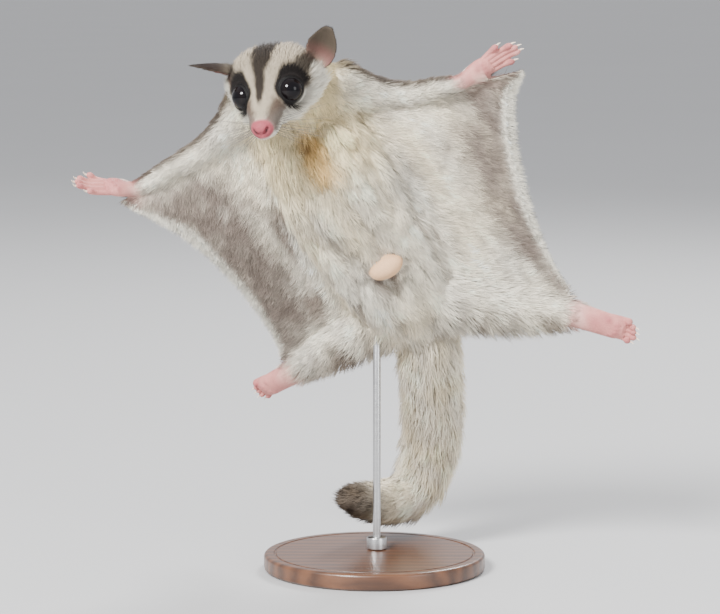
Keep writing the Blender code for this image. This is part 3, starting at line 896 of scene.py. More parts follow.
def linear(*display):
    """A linear colour from display values of 0 to 255."""
    return tuple(((v / 255 + 0.055) / 1.055) ** 2.4 if v > 10 else v / 255 / 12.92 for v in display)


def colour_property(name, description, default):
    return bpy.props.FloatVectorProperty(
        name=name, description=description, default=linear(*default), subtype="COLOR", size=3,
        min=0.0, max=1.0,
    )


class GliderColours(bpy.types.PropertyGroup):
    """The colours that the markings, and the painted shade among them, are mixed from."""

    cream: colour_property("Cream", "Main colour of the belly coat", (246, 230, 196))
    white: colour_property("White", "Fringe, cheeks and inner arms", (251, 245, 228))
    # Painted shade: this colour darkens the coat's partings and the belly's furrows, the downward-facing
    # side of the legs and the hollow round the sac.
    lavender: colour_property("Lavender", "Under-colour shown by the coat's partings", (108, 88, 78))
    throat: colour_property("Throat", "Yellowish cream of throat and neck", (243, 222, 168))
    membrane: colour_property("Membrane grey", "Underside of the gliding membranes", (130, 117, 107))
    back: colour_property("Back grey", "Coat of the back and the outer limbs", (112, 99, 88))
    stripe: colour_property("Stripe", "Stripe from the forehead down the back", (26, 17, 14))
    ring: colour_property("Eye ring", "Ring round the eye and the patch up to the ear", (20, 15, 13))
    brow: colour_property("Brow", "Pale bands beside the forehead stripe", (182, 168, 146))
    muzzle: colour_property("Muzzle", "Sides of the muzzle", (74, 54, 46))
    gland: colour_property("Gland", "Bare spot on the chest", (78, 38, 12))
    orange: colour_property("Orange", "Stained coat round the gland", (242, 186, 92))
    tail: colour_property("Tail", "Coat of the tail", (250, 240, 220))
    tail_end: colour_property("Tail end", "Last third of the tail", (62, 46, 36))
    pink: colour_property("Pink", "Bare skin of hands and feet", (218, 146, 138))
    rose: colour_property("Rose", "Nose and inner ears", (164, 80, 88))
    ear: colour_property("Ear", "Outer ear", (34, 22, 17))
    peach: colour_property("Peach", "Bare skin of the lower belly", (236, 190, 146))


COLOUR_NAMES = list(GliderColours.__annotations__)


def mixed(base, colour, share):
    return base + (np.asarray(colour) - base) * np.clip(np.atleast_1d(share), 0, 1)[:, None]


def mixed_near(base, colour, distance, inner, outer, strength=1.0):
    """Mixed in where the distance is short."""
    return mixed(base, colour, (1 - ramp(distance, inner, outer)) * strength)


def plain(colour, count):
    return np.tile(np.asarray(colour, float), (count, 1))


# Forehead stripe: how far forward, and its half width. It lies a little off the middle.
STRIPE_WIDTHS = ((-29, 4.6), (-15, 5.2), (-10, 4.5), (-5, 3.4), (0, 2.2), (5, 1.7), (8, 1.0), (10, 0.0))
STRIPE_SHIFT = 0.6
# Lines of the face's markings on the left side, in head axes.
MUZZLE_SIDE = ((5.4, 6.0, -2.2), (3.7, 14.6, -4.6))
MUZZLE_BRIDGE = ((0, 9.5, 2.0), (0, 15.0, -1.6))
CHEEK = ((11.0, 4.0, -8.5), (17.0, -9.0, -6.5))
EYE_TO_EAR = ((12.2, -5.5, 4.2), (16.6, -14.5, 4.6))
EAR_TUFT = ((18.5, -11.5, -1.0), (19.0, -15.0, -4.0))
# The bare spot on the chest and the stained coat below it.
GLAND_SPOT = (-28.9, -25.0, 179.6)
GLAND_PATCH = ((-26.5, -26.0, 181.0), (-22.5, -30.0, 169.0))
# Length, width and seed of the noise that makes the belly's folds.
FOLD_NOISE = (28, 5.4, 11)
# Outer side of a limb: its lean towards the head, where its grey begins and ends, its darkness.
LIMB_BACKS = {"arm": (0.55, (-0.45, 0.0), 0.75), "leg": (-0.2, (0.1, 0.5), 0.2)}
LEG_LOCKS = (2.6, 9.0, 9.0)
# Where a membrane's grey begins and ends on its way out, and its strength.
MEMBRANE_GREYS = {"membrane_left": (0.45, 0.78, 0.85), "membrane_right": (0.30, 0.62, 0.95)}
TAIL_FRONT = (0.25, -0.97, 0.0)


def body_noise(points, along, across, seed):
    """Noise drawn out down the body."""
    return soft_noise(points @ BODY_AXES / (across, along, across), seed)


def leg_axes(side):
    """Along the leg, and two ways across it."""
    along = unit(np.subtract(ANKLE[side], HIP[side]))
    across = unit(np.cross(along, BODY_VENTRAL))
    return np.stack([along, across, np.cross(along, across)], 1)


def head_colour(points, normals, c):
    """Colour of the head, and how bare it is."""
    local, face = in_head(points), normals @ HEAD_AXES.T
    left, forward, up = local.T
    colour = plain(c["brow"], len(points))
    behind = ramp(-forward, 14, 24)
    colour = mixed(colour, c["back"], behind * ramp(up, -2, 5))
    lower = ramp(-up, 0.5, 4.5)
    colour = mixed(colour, c["white"], lower)
    colour = mixed(colour, c["throat"], lower * ramp(-forward, 12, 20))
    halves = np.array(STRIPE_WIDTHS)
    half = np.interp(forward, halves[:, 0], halves[:, 1])
    stripe = 1 - ramp(np.abs(left + STRIPE_SHIFT), half - 0.7, half + 0.7)
    colour = mixed(colour, c["stripe"], stripe * ramp(face[:, 2], 0.0, 0.3) * (forward < 10) * 0.95)
    for sign in (1, -1):
        muzzle = to_pair(local, MUZZLE_SIDE, sign) + 0.7 * soft_noise(local / 0.8, 41)
        colour = mixed_near(colour, c["muzzle"], muzzle, 2.0, 4.6, 0.85)
        colour = mixed_near(colour, c["brow"], to_capsule(local, *MUZZLE_BRIDGE), 1.2, 2.2, 0.4)
        colour = mixed_near(colour, c["white"], to_pair(local, CHEEK, sign), 3.6, 5.6, 0.95)
        offset = local - mirrored(EYE_CENTRE, sign)
        eye = norms(offset)
        eye = eye - 1.8 * ramp(dot(unit(offset), unit(mirrored((0.62, -0.6, 0.5), sign))), 0.0, 0.8)
        ring = 1 - ramp(eye, 6.3, 7.5)
        ring *= 1 - 0.65 * ramp(dot(offset, mirrored((0.6, -0.1, -0.8), sign)), 3.5, 6.5)
        to_ear = (1 - ramp(to_pair(local, EYE_TO_EAR, sign), 2.2, 4.2)) * 0.88
        colour = mixed(colour, c["ring"], np.maximum(ring, to_ear))
        colour = mixed_near(colour, c["white"], to_pair(local, EAR_TUFT, sign), 3.4, 4.8, 0.95)
        lip = to_line(local, mouth_line(sign))
        colour = mixed(colour, c["ring"], (1 - ramp(lip, 0.2, 0.8)) * 0.6 * (forward > 2))
    pad = norms((local - NOSE_CENTRE) / NOSE_RADII)
    nose = ramp(forward, 14.6, 16.4) * (1 - ramp(pad, 1.15, 1.45))
    colour = mixed(colour, c["rose"], nose)
    # Painted shade inside the nostrils.
    for sign in (1, -1):
        hole = to_pair(local, NOSTRIL, sign)
        colour = mixed_near(colour, np.array(c["rose"]) * 0.12, hole, 0.5, 1.0)
    return colour, nose


def limb_colour(name, points, normals, share, belly, c):
    """Pale within, grey on the outer side, painted shade in streaks under the legs, and pink at the
    wrist or ankle.
    """
    kind, side = name.split("_")
    colour = mixed(belly, c["white"], 0.6)
    if kind == "leg":
        # Painted shade: dark streaks on the side of the leg that faces down.
        locks = ramp(soft_noise(points @ leg_axes(side) / LEG_LOCKS, 31), -0.3, 0.7)
        colour = mixed(colour, c["lavender"], locks * ramp(-normals[:, 2], -0.1, 0.7) * 0.8)
    lean, edge, darkness = LIMB_BACKS[kind]
    outer = dot(normals, unit(-BODY_VENTRAL + lean * BODY_HEADWARD))
    colour = mixed(colour, c["back"], ramp(outer, *edge))
    colour = mixed(colour, c["stripe"], ramp(outer, edge[1] - 0.3, 0.3) * darkness)
    colour = mixed(colour, c["back"], dorsal_share(normals))
    end = ZONES[name][0].reach[-1]
    return mixed(colour, c["pink"], ramp(share, end - 6, end) * 0.5)


def membrane_colour(name, share, over, belly, fine, c):
    """Grey towards the free edge, darker above, and white along the edge itself."""
    start, end, strength = MEMBRANE_GREYS[name]
    grey = ramp(share, start, end) * strength
    under = mixed(belly, c["membrane"], grey + 0.3 * fine)
    upper = mixed(plain(c["back"], len(belly)), c["stripe"], 0.28 + 0.3 * ramp(share, 0.5, 0.85))
    colour = under + (upper - under) * (over < 0)[:, None]
    return mixed(colour, c["white"], ramp(share, 0.905, 0.945))


def dorsal_share(normals):
    return 1 - ramp(dot(normals, BODY_VENTRAL), -0.35, 0.1)


def markings(points, normals, survey, c):
    """Colour of the coat and skin at each point with its painted shade, how bare it is, and where the
    coat parts.
    """
    count = len(points)
    dorsal = dorsal_share(normals)
    total, bare = np.zeros((count, 3)), np.zeros(count)
    folds, broad = body_noise(points, *FOLD_NOISE), body_noise(points, 26, 9, 3)
    fine = body_noise(points, 9, 2.6, 5)
    parting = ramp(0.25 * fine - np.abs(folds), -0.36, 0.02) * (0.3 + 0.7 * ramp(broad, -0.4, 0.4))
    belly = mixed(plain(c["cream"], count), c["white"], 0.55 + 0.6 * broad)
    # Painted shade: the coat's partings and the belly's furrows are darkened.
    belly = mixed(belly, c["lavender"], 0.9 * parting)
    tone = 1 + 0.16 * body_noise(points, 13, 3.6, 17) + 0.08 * body_noise(points, 40, 15, 19)
    belly = belly * tone[:, None]
    midback = np.abs(dot(points - WAIST, BODY_LEFT) + 1.5 * broad)
    back = mixed(plain(c["back"], count), c["brow"], 0.18 + 0.25 * fine)
    back = mixed_near(back, c["stripe"], midback, 2.2, 4.6, 0.9)
    for number, name in enumerate(ZONES):
        weight = survey.weight[number]
        near = np.nonzero(weight > 0.004)[0]
        if not len(near):
            continue
        kind, share, turn = zone_kind(name), survey.reach[number, near], survey.turn[number, near]
        here, facing = points[near], normals[near]
        naked = np.zeros(len(near))
        if kind == "head":
            colour, naked = head_colour(here, facing, c)
        elif kind in ("neck", "trunk"):
            throat = 0.85
            if kind == "trunk":
                throat = ramp(dot(here - CHEST, BODY_HEADWARD), -12, 14) * 0.7
            colour = mixed(mixed(belly[near], c["throat"], throat), back[near], dorsal[near])
        elif kind == "tail":
            front = dot(facing, np.array(TAIL_FRONT))
            colour = mixed(plain(c["tail"], len(near)), c["cream"], 0.5 + 0.8 * fine[near])
            colour = mixed_near(colour, c["back"], front, -0.7, 0.1, 0.9)
            colour = mixed(colour, c["tail_end"], ramp(share, 98, 127) * 0.92)
        elif kind in ("arm", "leg"):
            colour = limb_colour(name, here, facing, share, belly[near], c)
        elif kind == "membrane":
            colour = membrane_colour(name, share, turn, belly[near], fine[near], c)
        elif kind == "ear":
            inner = ramp(turn, -0.2, 0.3)
            colour = mixed(plain(c["ear"], len(near)), c["brow"], inner * 0.15)
            colour = mixed(colour, c["rose"], inner * (1 - ramp(share, 0.1, 0.6)) * 0.36)
            naked = inner * 0.6
        else:
            pads = bell(to_pads(here, name), 1.5)
            colour = mixed(plain(c["pink"], len(near)), c["rose"], 0.12 + 0.3 * fine[near] + 0.35 * pads)
            # Painted shade in the webs between the digits and in the creases of hands and feet.
            colour = colour * (1 - 0.45 * ramp(survey.height[number, near], 0.12, 0.6))[:, None]
            naked = np.ones(len(near))
        total[near] += colour * weight[near, None]
        bare[near] += naked * weight[near]
    gland = norms(points - GLAND_SPOT)
    stain = to_capsule(points, *GLAND_PATCH) + 1.6 * fine
    front = ramp(dot(normals, BODY_VENTRAL), 0.0, 0.4)
    total = mixed(total, c["orange"], (1 - ramp(stain, 1.5, 8.5)) * 0.7 * front)
    total = mixed(total, c["gland"], (1 - ramp(gland + fine, 1.2, 3.4)) * 0.9 * front)
    sac = to_sac(points)
    bare = np.maximum(bare, 1 - ramp(sac, 1.1, 1.24))
    total = mixed_near(total, c["peach"], sac, 1.04, 1.14)
    # Painted shade in the hollow round the sac.
    total = mixed(total, c["lavender"], bell(sac - 1.25, 0.16) * 0.5)
    return total, bare, parting


def to_pads(points, name):
    """Distance to the nearest pad of a hand or foot, under the digits' roots and ends."""
    kind, side = name.split("_")
    pads = []
    for number, (_, _, _, length, radius) in enumerate(PAWS[kind][3]):
        _, end, heading, palm = digit_line(kind, side, number)
        pads.append(end - heading * 0.7 + palm * radius)
        pads.append(end - heading * (length + 0.6) + palm * (radius + 1.2))
    return np.min([norms(points - pad) for pad in pads], axis=0)


def to_sac(points):
    """Distance from the sac's middle, as a share of its size."""
    return norms((points - SCROTUM_CENTRE) @ BODY_AXES / SCROTUM_HALF_SIZE)


# Shared effects


def node(tree, kind, **values):
    made = tree.nodes.new(kind)
    for name, value in values.items():
        setattr(made, name, value)
    return made


def new_group(name, inputs, outputs):
    """An empty node group with its named sockets, and its two end nodes."""
    group = bpy.data.node_groups.new(name, "ShaderNodeTree")
    for label, kind, default in inputs:
        socket = group.interface.new_socket(label, in_out="INPUT", socket_type=kind)
        if default is not None:
            socket.default_value = default
    for label, kind in outputs:
        group.interface.new_socket(label, in_out="OUTPUT", socket_type=kind)
    return group, node(group, "NodeGroupInput"), node(group, "NodeGroupOutput")


def feed(tree, socket, value):
    """Gives a socket a number, or joins another node's output to it."""
    if isinstance(value, (int, float)):
        socket.default_value = value
    else:
        tree.links.new(value, socket)


def math_node(tree, operation, *values):
    made = node(tree, "ShaderNodeMath", operation=operation)
    for socket, value in zip(made.inputs, values):
        feed(tree, socket, value)
    return made.outputs[0]


def noise_node(tree, vector, scale, detail=3.0, roughness=0.6):
    made = node(tree, "ShaderNodeTexNoise")
    settings = {"Scale": scale, "Detail": detail, "Roughness": roughness, "Vector": vector}
    for name, value in settings.items():
        feed(tree, made.inputs[name], value)
    return made.outputs["Fac"]


def object_place(tree):
    return node(tree, "ShaderNodeTexCoord").outputs["Object"]


def stretched_place(tree, scale):
    """The place on the object, with its own scale for each axis."""
    made = node(tree, "ShaderNodeMapping")
    made.inputs["Scale"].default_value = scale
    tree.links.new(object_place(tree), made.inputs["Vector"])
    return made.outputs[0]


def shaded_colour(tree, colour, factor):
    """The colour times a number."""
    made = node(tree, "ShaderNodeVectorMath", operation="SCALE")
    tree.links.new(colour, made.inputs[0])
    tree.links.new(factor, made.inputs["Scale"])
    return made.outputs[0]


def hair_tone_group():
    """Darker at the root, paler at the tip, and uneven from place to place."""
    group, start, end = new_group(
        "hair_tone",
        (
            ("Colour", "NodeSocketColor", None),
            ("Along", "NodeSocketFloat", 1.0),
            ("Root", "NodeSocketFloat", 0.6),
            ("Tip", "NodeSocketFloat", 1.05),
            ("Unevenness", "NodeSocketFloat", 0.2),
            ("Grain per Metre", "NodeSocketFloat", 700.0),
        ),
        (("Colour", "NodeSocketColor"),),
    )
    grain = noise_node(group, object_place(group), start.outputs["Grain per Metre"])
    share = math_node(group, "POWER", start.outputs["Along"], 0.7)
    span = math_node(group, "SUBTRACT", start.outputs["Tip"], start.outputs["Root"])
    tone = math_node(group, "MULTIPLY_ADD", share, span, start.outputs["Root"])
    centred = math_node(group, "SUBTRACT", grain, 0.5)
    spread = math_node(group, "MULTIPLY", centred, start.outputs["Unevenness"])
    tone = math_node(group, "MULTIPLY", tone, math_node(group, "ADD", spread, 1.0))
    group.links.new(shaded_colour(group, start.outputs["Colour"], tone), end.inputs["Colour"])
    return group


def lie_relief_group():
    """Height of short hair that lies along the lie attribute, drawn out as streaks."""
    group, start, end = new_group(
        "lie_relief",
        (
            ("Lie", "NodeSocketVector", None),
            ("Streak Length", "NodeSocketFloat", 3.0),
            ("Streak Width", "NodeSocketFloat", 0.3),
        ),
        (("Height", "NodeSocketFloat"),),
    )
    parts = node(group, "ShaderNodeSeparateXYZ")
    group.links.new(start.outputs["Lie"], parts.inputs[0])
    scaled = node(group, "ShaderNodeCombineXYZ")
    for k, label in enumerate(("Streak Length", "Streak Width")):
        share = math_node(group, "DIVIDE", parts.outputs[k], start.outputs[label])
        group.links.new(share, scaled.inputs[k])
    group.links.new(noise_node(group, scaled.outputs[0], 1.0, 2.0, 0.5), end.inputs["Height"])
    return group


def use_group(tree, group, **values):
    made = node(tree, "ShaderNodeGroup", node_tree=group)
    for name, value in values.items():
        feed(tree, made.inputs[name.replace("_", " ")], value)
    return made


def attribute(tree, name):
    return node(tree, "ShaderNodeAttribute", attribute_name=name)


def new_material(name, **values):
    """A material whose shader's own sockets hold the values. Returns it, its nodes and its shader."""
    material = bpy.data.materials.new(name)
    material.use_nodes = True
    tree = material.node_tree
    shader = next(n for n in tree.nodes if n.type == "BSDF_PRINCIPLED")
    for label, value in values.items():
        shader.inputs[label.replace("_", " ")].default_value = value
    return material, tree, shader


def relief(tree, shader, height, distance):
    """Bumps as high as the distance, in metres."""
    bump = node(tree, "ShaderNodeBump")
    bump.inputs["Distance"].default_value = distance
    bump.inputs["Strength"].default_value = 1.0
    tree.links.new(height, bump.inputs["Height"])
    tree.links.new(bump.outputs[0], shader.inputs["Normal"])


def two_tones(tree, shader, first, second, share):
    """Base colour mixed from two display colours."""
    mix = node(tree, "ShaderNodeMix", data_type="RGBA")
    for label, colour in (("A", first), ("B", second)):
        mix.inputs[label].default_value = (*linear(*colour), 1.0)
    tree.links.new(share, mix.inputs["Factor"])
    tree.links.new(mix.outputs["Result"], shader.inputs["Base Color"])


def grey_tone(tree, shader, tone):
    shade = node(tree, "ShaderNodeCombineColor")
    for socket in shade.inputs[:3]:
        tree.links.new(tone, socket)
    tree.links.new(shade.outputs[0], shader.inputs["Base Color"])


# Brightness of hair at its root and tip, and how uneven it is.
COAT_TONE = {"Root": 0.46, "Tip": 1.1, "Unevenness": 0.3}
SKIN_TONE = {"Root": 0.8, "Tip": 0.92, "Unevenness": 0.25, "Grain_per_Metre": 1600.0}


def coat_material():
    material, tree, shader = new_material(
        "glider_coat", Roughness=0.7, Specular_IOR_Level=0.2, Sheen_Weight=0.03
    )
    colour = attribute(tree, "coat_colour").outputs["Color"]
    along = attribute(tree, "along").outputs["Fac"]
    toned = use_group(tree, GROUPS["tone"], Colour=colour, Along=along, **COAT_TONE)
    tree.links.new(toned.outputs[0], shader.inputs["Base Color"])
    return material


def skin_material():
    """Bare or under the coat: the bare attribute turns the hair's streaks into fine skin."""
    material, tree, shader = new_material("glider_skin", Specular_IOR_Level=0.22)
    colour, bare, lie = (attribute(tree, name) for name in ("coat_colour", "bare", "lie"))
    toned = use_group(tree, GROUPS["tone"], Colour=colour.outputs["Color"], **SKIN_TONE)
    tree.links.new(toned.outputs[0], shader.inputs["Base Color"])
    streaks = use_group(tree, GROUPS["relief"], Lie=lie.outputs["Vector"]).outputs[0]
    pores = noise_node(tree, object_place(tree), 2200.0)
    amount = bare.outputs["Fac"]
    difference = math_node(tree, "SUBTRACT", pores, streaks)
    relief(tree, shader, math_node(tree, "MULTIPLY_ADD", difference, amount, streaks), 0.0003)
    shine = math_node(tree, "MULTIPLY_ADD", amount, -0.32, 0.82)
    tree.links.new(shine, shader.inputs["Roughness"])
    return material


# Colours of the eye from the middle of its pupil outward.
EYE_BANDS = (
    (0.0, (0.002, 0.002, 0.003)),
    (0.30, (0.003, 0.002, 0.003)),
    (0.40, (0.006, 0.004, 0.004)),
    (0.62, (0.004, 0.003, 0.004)),
    (0.74, (0.002, 0.002, 0.003)),
)


def eye_material():
    """Wet dark eye: a black pupil, a faint brown iris and a dark rim."""
    material, tree, shader = new_material("glider_eye", Roughness=0.04, IOR=1.34, Specular_IOR_Level=0.4)
    angle = attribute(tree, "iris").outputs["Fac"]
    bands = node(tree, "ShaderNodeValToRGB")
    stops = bands.color_ramp.elements
    while len(stops) < len(EYE_BANDS):
        stops.new(1.0)
    for stop, (place, colour) in zip(stops, EYE_BANDS):
        stop.position, stop.color = place, (*colour, 1.0)
    rays = math_node(tree, "SUBTRACT", noise_node(tree, object_place(tree), 1500.0), 0.5)
    tree.links.new(math_node(tree, "MULTIPLY_ADD", rays, 0.12, angle), bands.inputs[0])
    tree.links.new(bands.outputs[0], shader.inputs["Base Color"])
    return material


def horn_material():
    material, tree, shader = new_material("glider_claw", Roughness=0.35)
    along = attribute(tree, "along").outputs["Fac"]
    two_tones(tree, shader, (226, 190, 170), (238, 226, 206), along)
    relief(tree, shader, noise_node(tree, object_place(tree), 3500.0), 0.00004)
    return material


def whisker_material():
    material, tree, shader = new_material("glider_whisker", Roughness=0.45)
    along = attribute(tree, "along").outputs["Fac"]
    two_tones(tree, shader, (52, 44, 42), (150, 140, 132), along)
    return material


def wood_material():
    """Dark varnished wood, its grain running through the base along X."""
    material, tree, shader = new_material("stand_wood", Coat_Weight=0.35, Coat_Roughness=0.18)
    place = stretched_place(tree, (6.0, 60.0, 60.0))
    rings = node(tree, "ShaderNodeTexWave", wave_type="BANDS", bands_direction="Y")
    for name, value in (("Scale", 0.8), ("Distortion", 5.0), ("Detail", 3.0), ("Detail Scale", 1.4)):
        rings.inputs[name].default_value = value
    tree.links.new(place, rings.inputs["Vector"])
    pores = noise_node(tree, place, 9.0, 4.0, 0.7)
    bands = math_node(tree, "MULTIPLY", rings.outputs["Fac"], 0.55)
    grain = math_node(tree, "MULTIPLY_ADD", pores, 0.45, bands)
    two_tones(tree, shader, (52, 32, 22), (112, 72, 46), grain)
    tree.links.new(math_node(tree, "MULTIPLY_ADD", pores, 0.2, 0.3), shader.inputs["Roughness"])
    relief(tree, shader, pores, 0.00012)
    return material


def steel_material():
    """Brushed steel, with its fine lines round the rod."""
    material, tree, shader = new_material("stand_steel", Metallic=1.0)
    lines = noise_node(tree, stretched_place(tree, (120.0, 120.0, 9000.0)), 1.0, 2.0)
    grey_tone(tree, shader, math_node(tree, "MULTIPLY_ADD", lines, 0.16, 0.5))
    tree.links.new(math_node(tree, "MULTIPLY_ADD", lines, 0.22, 0.2), shader.inputs["Roughness"])
    relief(tree, shader, lines, 0.00003)
    return material


def floor_material():
    material, tree, shader = new_material("studio_floor", Roughness=0.6)
    patches = noise_node(tree, object_place(tree), 2.0)
    grey_tone(tree, shader, math_node(tree, "MULTIPLY_ADD", patches, 0.03, 0.52))
    return material


# What the operators make and share: shader groups, materials, colours and the skin's arrays.
GROUPS = {}
MADE = {}


# The skin

FOLD_DEPTH = 2.4
PAW_PAD_HEIGHT = 0.45
# Round each eye: where the faces are small, where the ring's colour lies, and the dark lid edge.
FINE_EYE_REACH = 8.6
EYE_INSIDE = EYE_RADIUS + 0.1
LID_EDGE = EYE_RADIUS + 0.62
LID_EDGE_TONE = 0.35
# How many times each thing is evened out along the skin's edges.
EVENED = {"all": 6, "body": 90, "flow": 40, "hair": 24, "colour": 5}


def skin_shells():
    """Closed shells of flesh, each inside its solid by the coat's depth."""

    def tapered(loft, sides, name, start, end):
        share = np.interp(loft.reach / loft.reach[-1], (0, 1), (start, end))
        return closed_mesh(loft.rings(sides, COAT_DEPTH[name] * share[:, None]))

    nose_first = ramp(HEAD.reach, 1.5, 12.0)[:, None]
    shells = [closed_mesh(HEAD.rings(48, 0.05 + COAT_DEPTH["head"] * nose_first))]
    shells.append(closed_mesh(NECK.rings(40, COAT_DEPTH["neck"])))
    shells.append(closed_mesh(TRUNK.rings(48, COAT_DEPTH["trunk"])))
    shells.append(tapered(TAIL, 28, "tail", 1.0, 0.5))
    for side in SIDES:
        shells.append(tapered(ARMS[side], 24, "arm", 1.2, 0.3))
        shells.append(tapered(LEGS[side], 28, "leg", 1.2, 0.4))
        shells += [SHEETS[side].shell(), EARS[side].shell()]
        for kind in PAWS:
            shells += [closed_mesh(loft.rings(16, COAT_DEPTH["paw"])) for loft in PAW_LOFTS[kind, side]]
    turn = 2 * np.pi * np.arange(24) / 24
    polar = np.pi * (np.arange(13)[:, None] + 0.02) / 12.04
    ball = (np.sin(polar) * np.cos(turn), np.sin(polar) * np.sin(turn), np.cos(polar) + 0 * turn)
    ball = np.stack(ball, -1) * SCROTUM_HALF_SIZE
    shells.append(closed_mesh(np.array(SCROTUM_CENTRE) + ball @ BODY_AXES.T))
    return joined(shells)


def remeshed(obj, voxel):
    modifier = obj.modifiers.new("one skin", "REMESH")
    modifier.mode = "VOXEL"
    modifier.voxel_size = voxel * MM
    seen = obj.evaluated_get(bpy.context.evaluated_depsgraph_get())
    mesh = bpy.data.meshes.new_from_object(seen)
    bpy.data.objects.remove(obj)
    return mesh


def body_share(points):
    """1 on trunk, limbs and membranes, 0 on head, ears and paws."""
    share = ramp(norms(points - head_point((0, -6, 0))), 24, 31)
    for lofts in PAW_LOFTS.values():
        share *= ramp(norms(points - lofts[0].centre[-1]), 16, 24)
    return share


def near_eyes(points, reach):
    local = in_head(points)
    offsets = [norms(local - mirrored(EYE_CENTRE, sign)) for sign in (1, -1)]
    return np.min(offsets, axis=0) < reach


def refined(mesh, wanted):
    """Splits the edges between the chosen points."""
    chosen = wanted(numbers(mesh.vertices, "co", 3) / MM)

    def split(bm):
        edges = []
        for edge in bm.edges:
            start, end = edge.verts
            if chosen[start.index] and chosen[end.index]:
                edges.append(edge)
        bmesh.ops.subdivide_edges(bm, edges=edges, cuts=1, use_grid_fill=True)

    edited(mesh, split)


def fine_places(points):
    """Where the skin needs small faces: the front of the head, and the hands and feet."""
    local = in_head(points)
    chosen = (norms(local - (0, 2, -3)) < 19) & (local[:, 1] > -8)
    for (kind, side), lofts in PAW_LOFTS.items():
        along = paw_axes(kind, side)[0]
        ahead = dot(points - np.array(PAWS[kind][0][side]), along)
        chosen |= (ahead > 5) & (norms(points - lofts[0].centre[-1]) < 24)
    return chosen


# Length, rise and width of the hair on each kind of form.
HAIR = {
    "head": (1.2, 0.35, 0.17),
    "neck": (6.2, 2.3, 0.36),
    "trunk": (8.4, 3.4, 0.40),
    "tail": (10.5, 4.7, 0.38),
    "arm": (4.6, 1.4, 0.34),
    "leg": (6.0, 1.8, 0.36),
    "hand": (1.6, 0.12, 0.12),
    "foot": (1.8, 0.15, 0.12),
    "membrane": (5.6, 0.75, 0.30),
    "ear": (1.1, 0.3, 0.14),
}
# Fuller hair of the head: its line, then where it begins and ends, and the gain in length and rise.
FULL_HAIR = (
    (((9.5, 4.0, -9.5), (16.0, -12.0, -8.5)), 2.5, 7.0, 3.6, 2.3),
    (((18.5, -11.5, -1.0), (19.0, -15.0, -3.0)), 2.5, 5.5, 3.4, 1.8),
)


def place_hair(points, normals, survey, parting):
    """Length, width and rise of the hair at each point. Combs the lie clear of the eyes and sac."""
    local = in_head(points)
    on_head = survey.of("head")
    back = ramp(-local[:, 1], -12, 18)
    length, rise, width = (survey.hair(column) for column in range(3))
    length, rise = length + on_head * (back * 2.2), rise + on_head * back * 0.75
    width = width + on_head * back * 0.12
    tail_end = ramp(survey.reach[ZONE_NAMES.index("tail")], 95, 130) * survey.of("tail")
    length, rise = length * (1 - 0.4 * tail_end), rise * (1 - 0.45 * tail_end)
    for number, (name, forms) in enumerate(ZONES.items()):
        if zone_kind(name) in ("arm", "leg"):
            thin = ramp(survey.reach[number] / forms[0].reach[-1], 0.55, 1.0) * survey.weight[number]
            length, rise = length * (1 - 0.45 * thin), rise * (1 - 0.6 * thin)
    crown = on_head * back * ramp(local[:, 2], 2, 8)
    length, rise = length + 2.0 * crown, rise + 1.6 * crown
    for sign in (1, -1):
        for line, inner, outer, longer, higher in FULL_HAIR:
            full = (1 - ramp(to_pair(local, line, sign), inner, outer)) * on_head
            length, rise = length + longer * full, rise + higher * full
        centre, gaze = mirrored(EYE_CENTRE, sign), unit(mirrored(EYE_GAZE, sign))
        offset = local - centre
        away = unit(offset - gaze * dot(offset, gaze)[:, None]) @ HEAD_AXES
        survey.comb_away(away, 1 - ramp(norms(offset), 7.0, 12.5), 0.3)
    sac, aside = to_sac(points), points - SCROTUM_CENTRE
    clear = ramp(sac, 1.2, 2.1)
    length, rise = length * (0.3 + 0.7 * clear), rise * (0.25 + 0.75 * clear)
    away = unit(aside - BODY_VENTRAL * dot(aside, BODY_VENTRAL)[:, None])
    survey.comb_away(away, 1 - ramp(sac, 1.3, 2.0), 0.4)
    survey.settle(normals)
    for side in SIDES:
        hang = ramp(-normals[:, 2], 0.0, 0.8) * survey.of(f"leg_{side}")
        survey.flow = survey.flow - np.array((0, 0, 0.9)) * hang[:, None]
        length, rise = length + 1.6 * hang, rise + 0.8 * hang
        number = ZONE_NAMES.index(f"membrane_{side}")
        length = length * (1 - 0.65 * ramp(survey.reach[number], 0.78, 0.94) * survey.weight[number])
    rise = rise * (1 - 0.6 * parting * (survey.of("trunk") + survey.of("neck")))
    return length, width, rise


def one_skin(voxel):
    """The shells made into one closed mesh, evened out, with small faces where they are needed."""
    rough = new_object("rough_skin", mesh_of("rough_skin", *skin_shells()), MADE["skin_material"])
    mesh = remeshed(rough, voxel)
    mesh.name = "skin"
    edges = numbers(mesh.edges, "vertices", 2, np.int32)
    points = numbers(mesh.vertices, "co", 3).astype(float)
    points = relaxed(points, edges, np.ones(len(points)), EVENED["all"])
    points = relaxed(points, edges, body_share(points / MM), EVENED["body"])
    mesh.vertices.foreach_set("co", flat_floats(points))
    refined(mesh, fine_places)
    refined(mesh, lambda found: near_eyes(found, FINE_EYE_REACH))
    edited(mesh, lambda bm: bmesh.ops.triangulate(bm, faces=bm.faces))
    mesh.materials.clear()
    return mesh


def sculpted(points, normals, survey):
    """The head's features, the folds of the belly, and the digits with their pads."""
    on_head = survey.of("head") > 0.25
    points[on_head] = sculpt_head(points[on_head], normals[on_head])
    folds = body_noise(points, *FOLD_NOISE)
    body = survey.of("trunk") + survey.of("neck") * 0.5
    sheets = survey.of("membrane_left") + survey.of("membrane_right")
    body = body * ramp(to_sac(points), 1.1, 1.6) * (1 - ramp(sheets, 0.01, 0.2))
    points += normals * (body * (ramp(np.abs(folds), 0.0, 0.4) - 0.8) * FOLD_DEPTH)[:, None]
    for number, name in enumerate(ZONES):
        if zone_kind(name) in PAWS:
            off = np.clip(survey.height[number], -0.5, 1.0) * (survey.zone == number)
            points -= normals * (off * ramp(survey.weight[number], 0.5, 0.9))[:, None]
            points += normals * (PAW_PAD_HEIGHT * bell(to_pads(points, name), 1.3))[:, None]
    return points


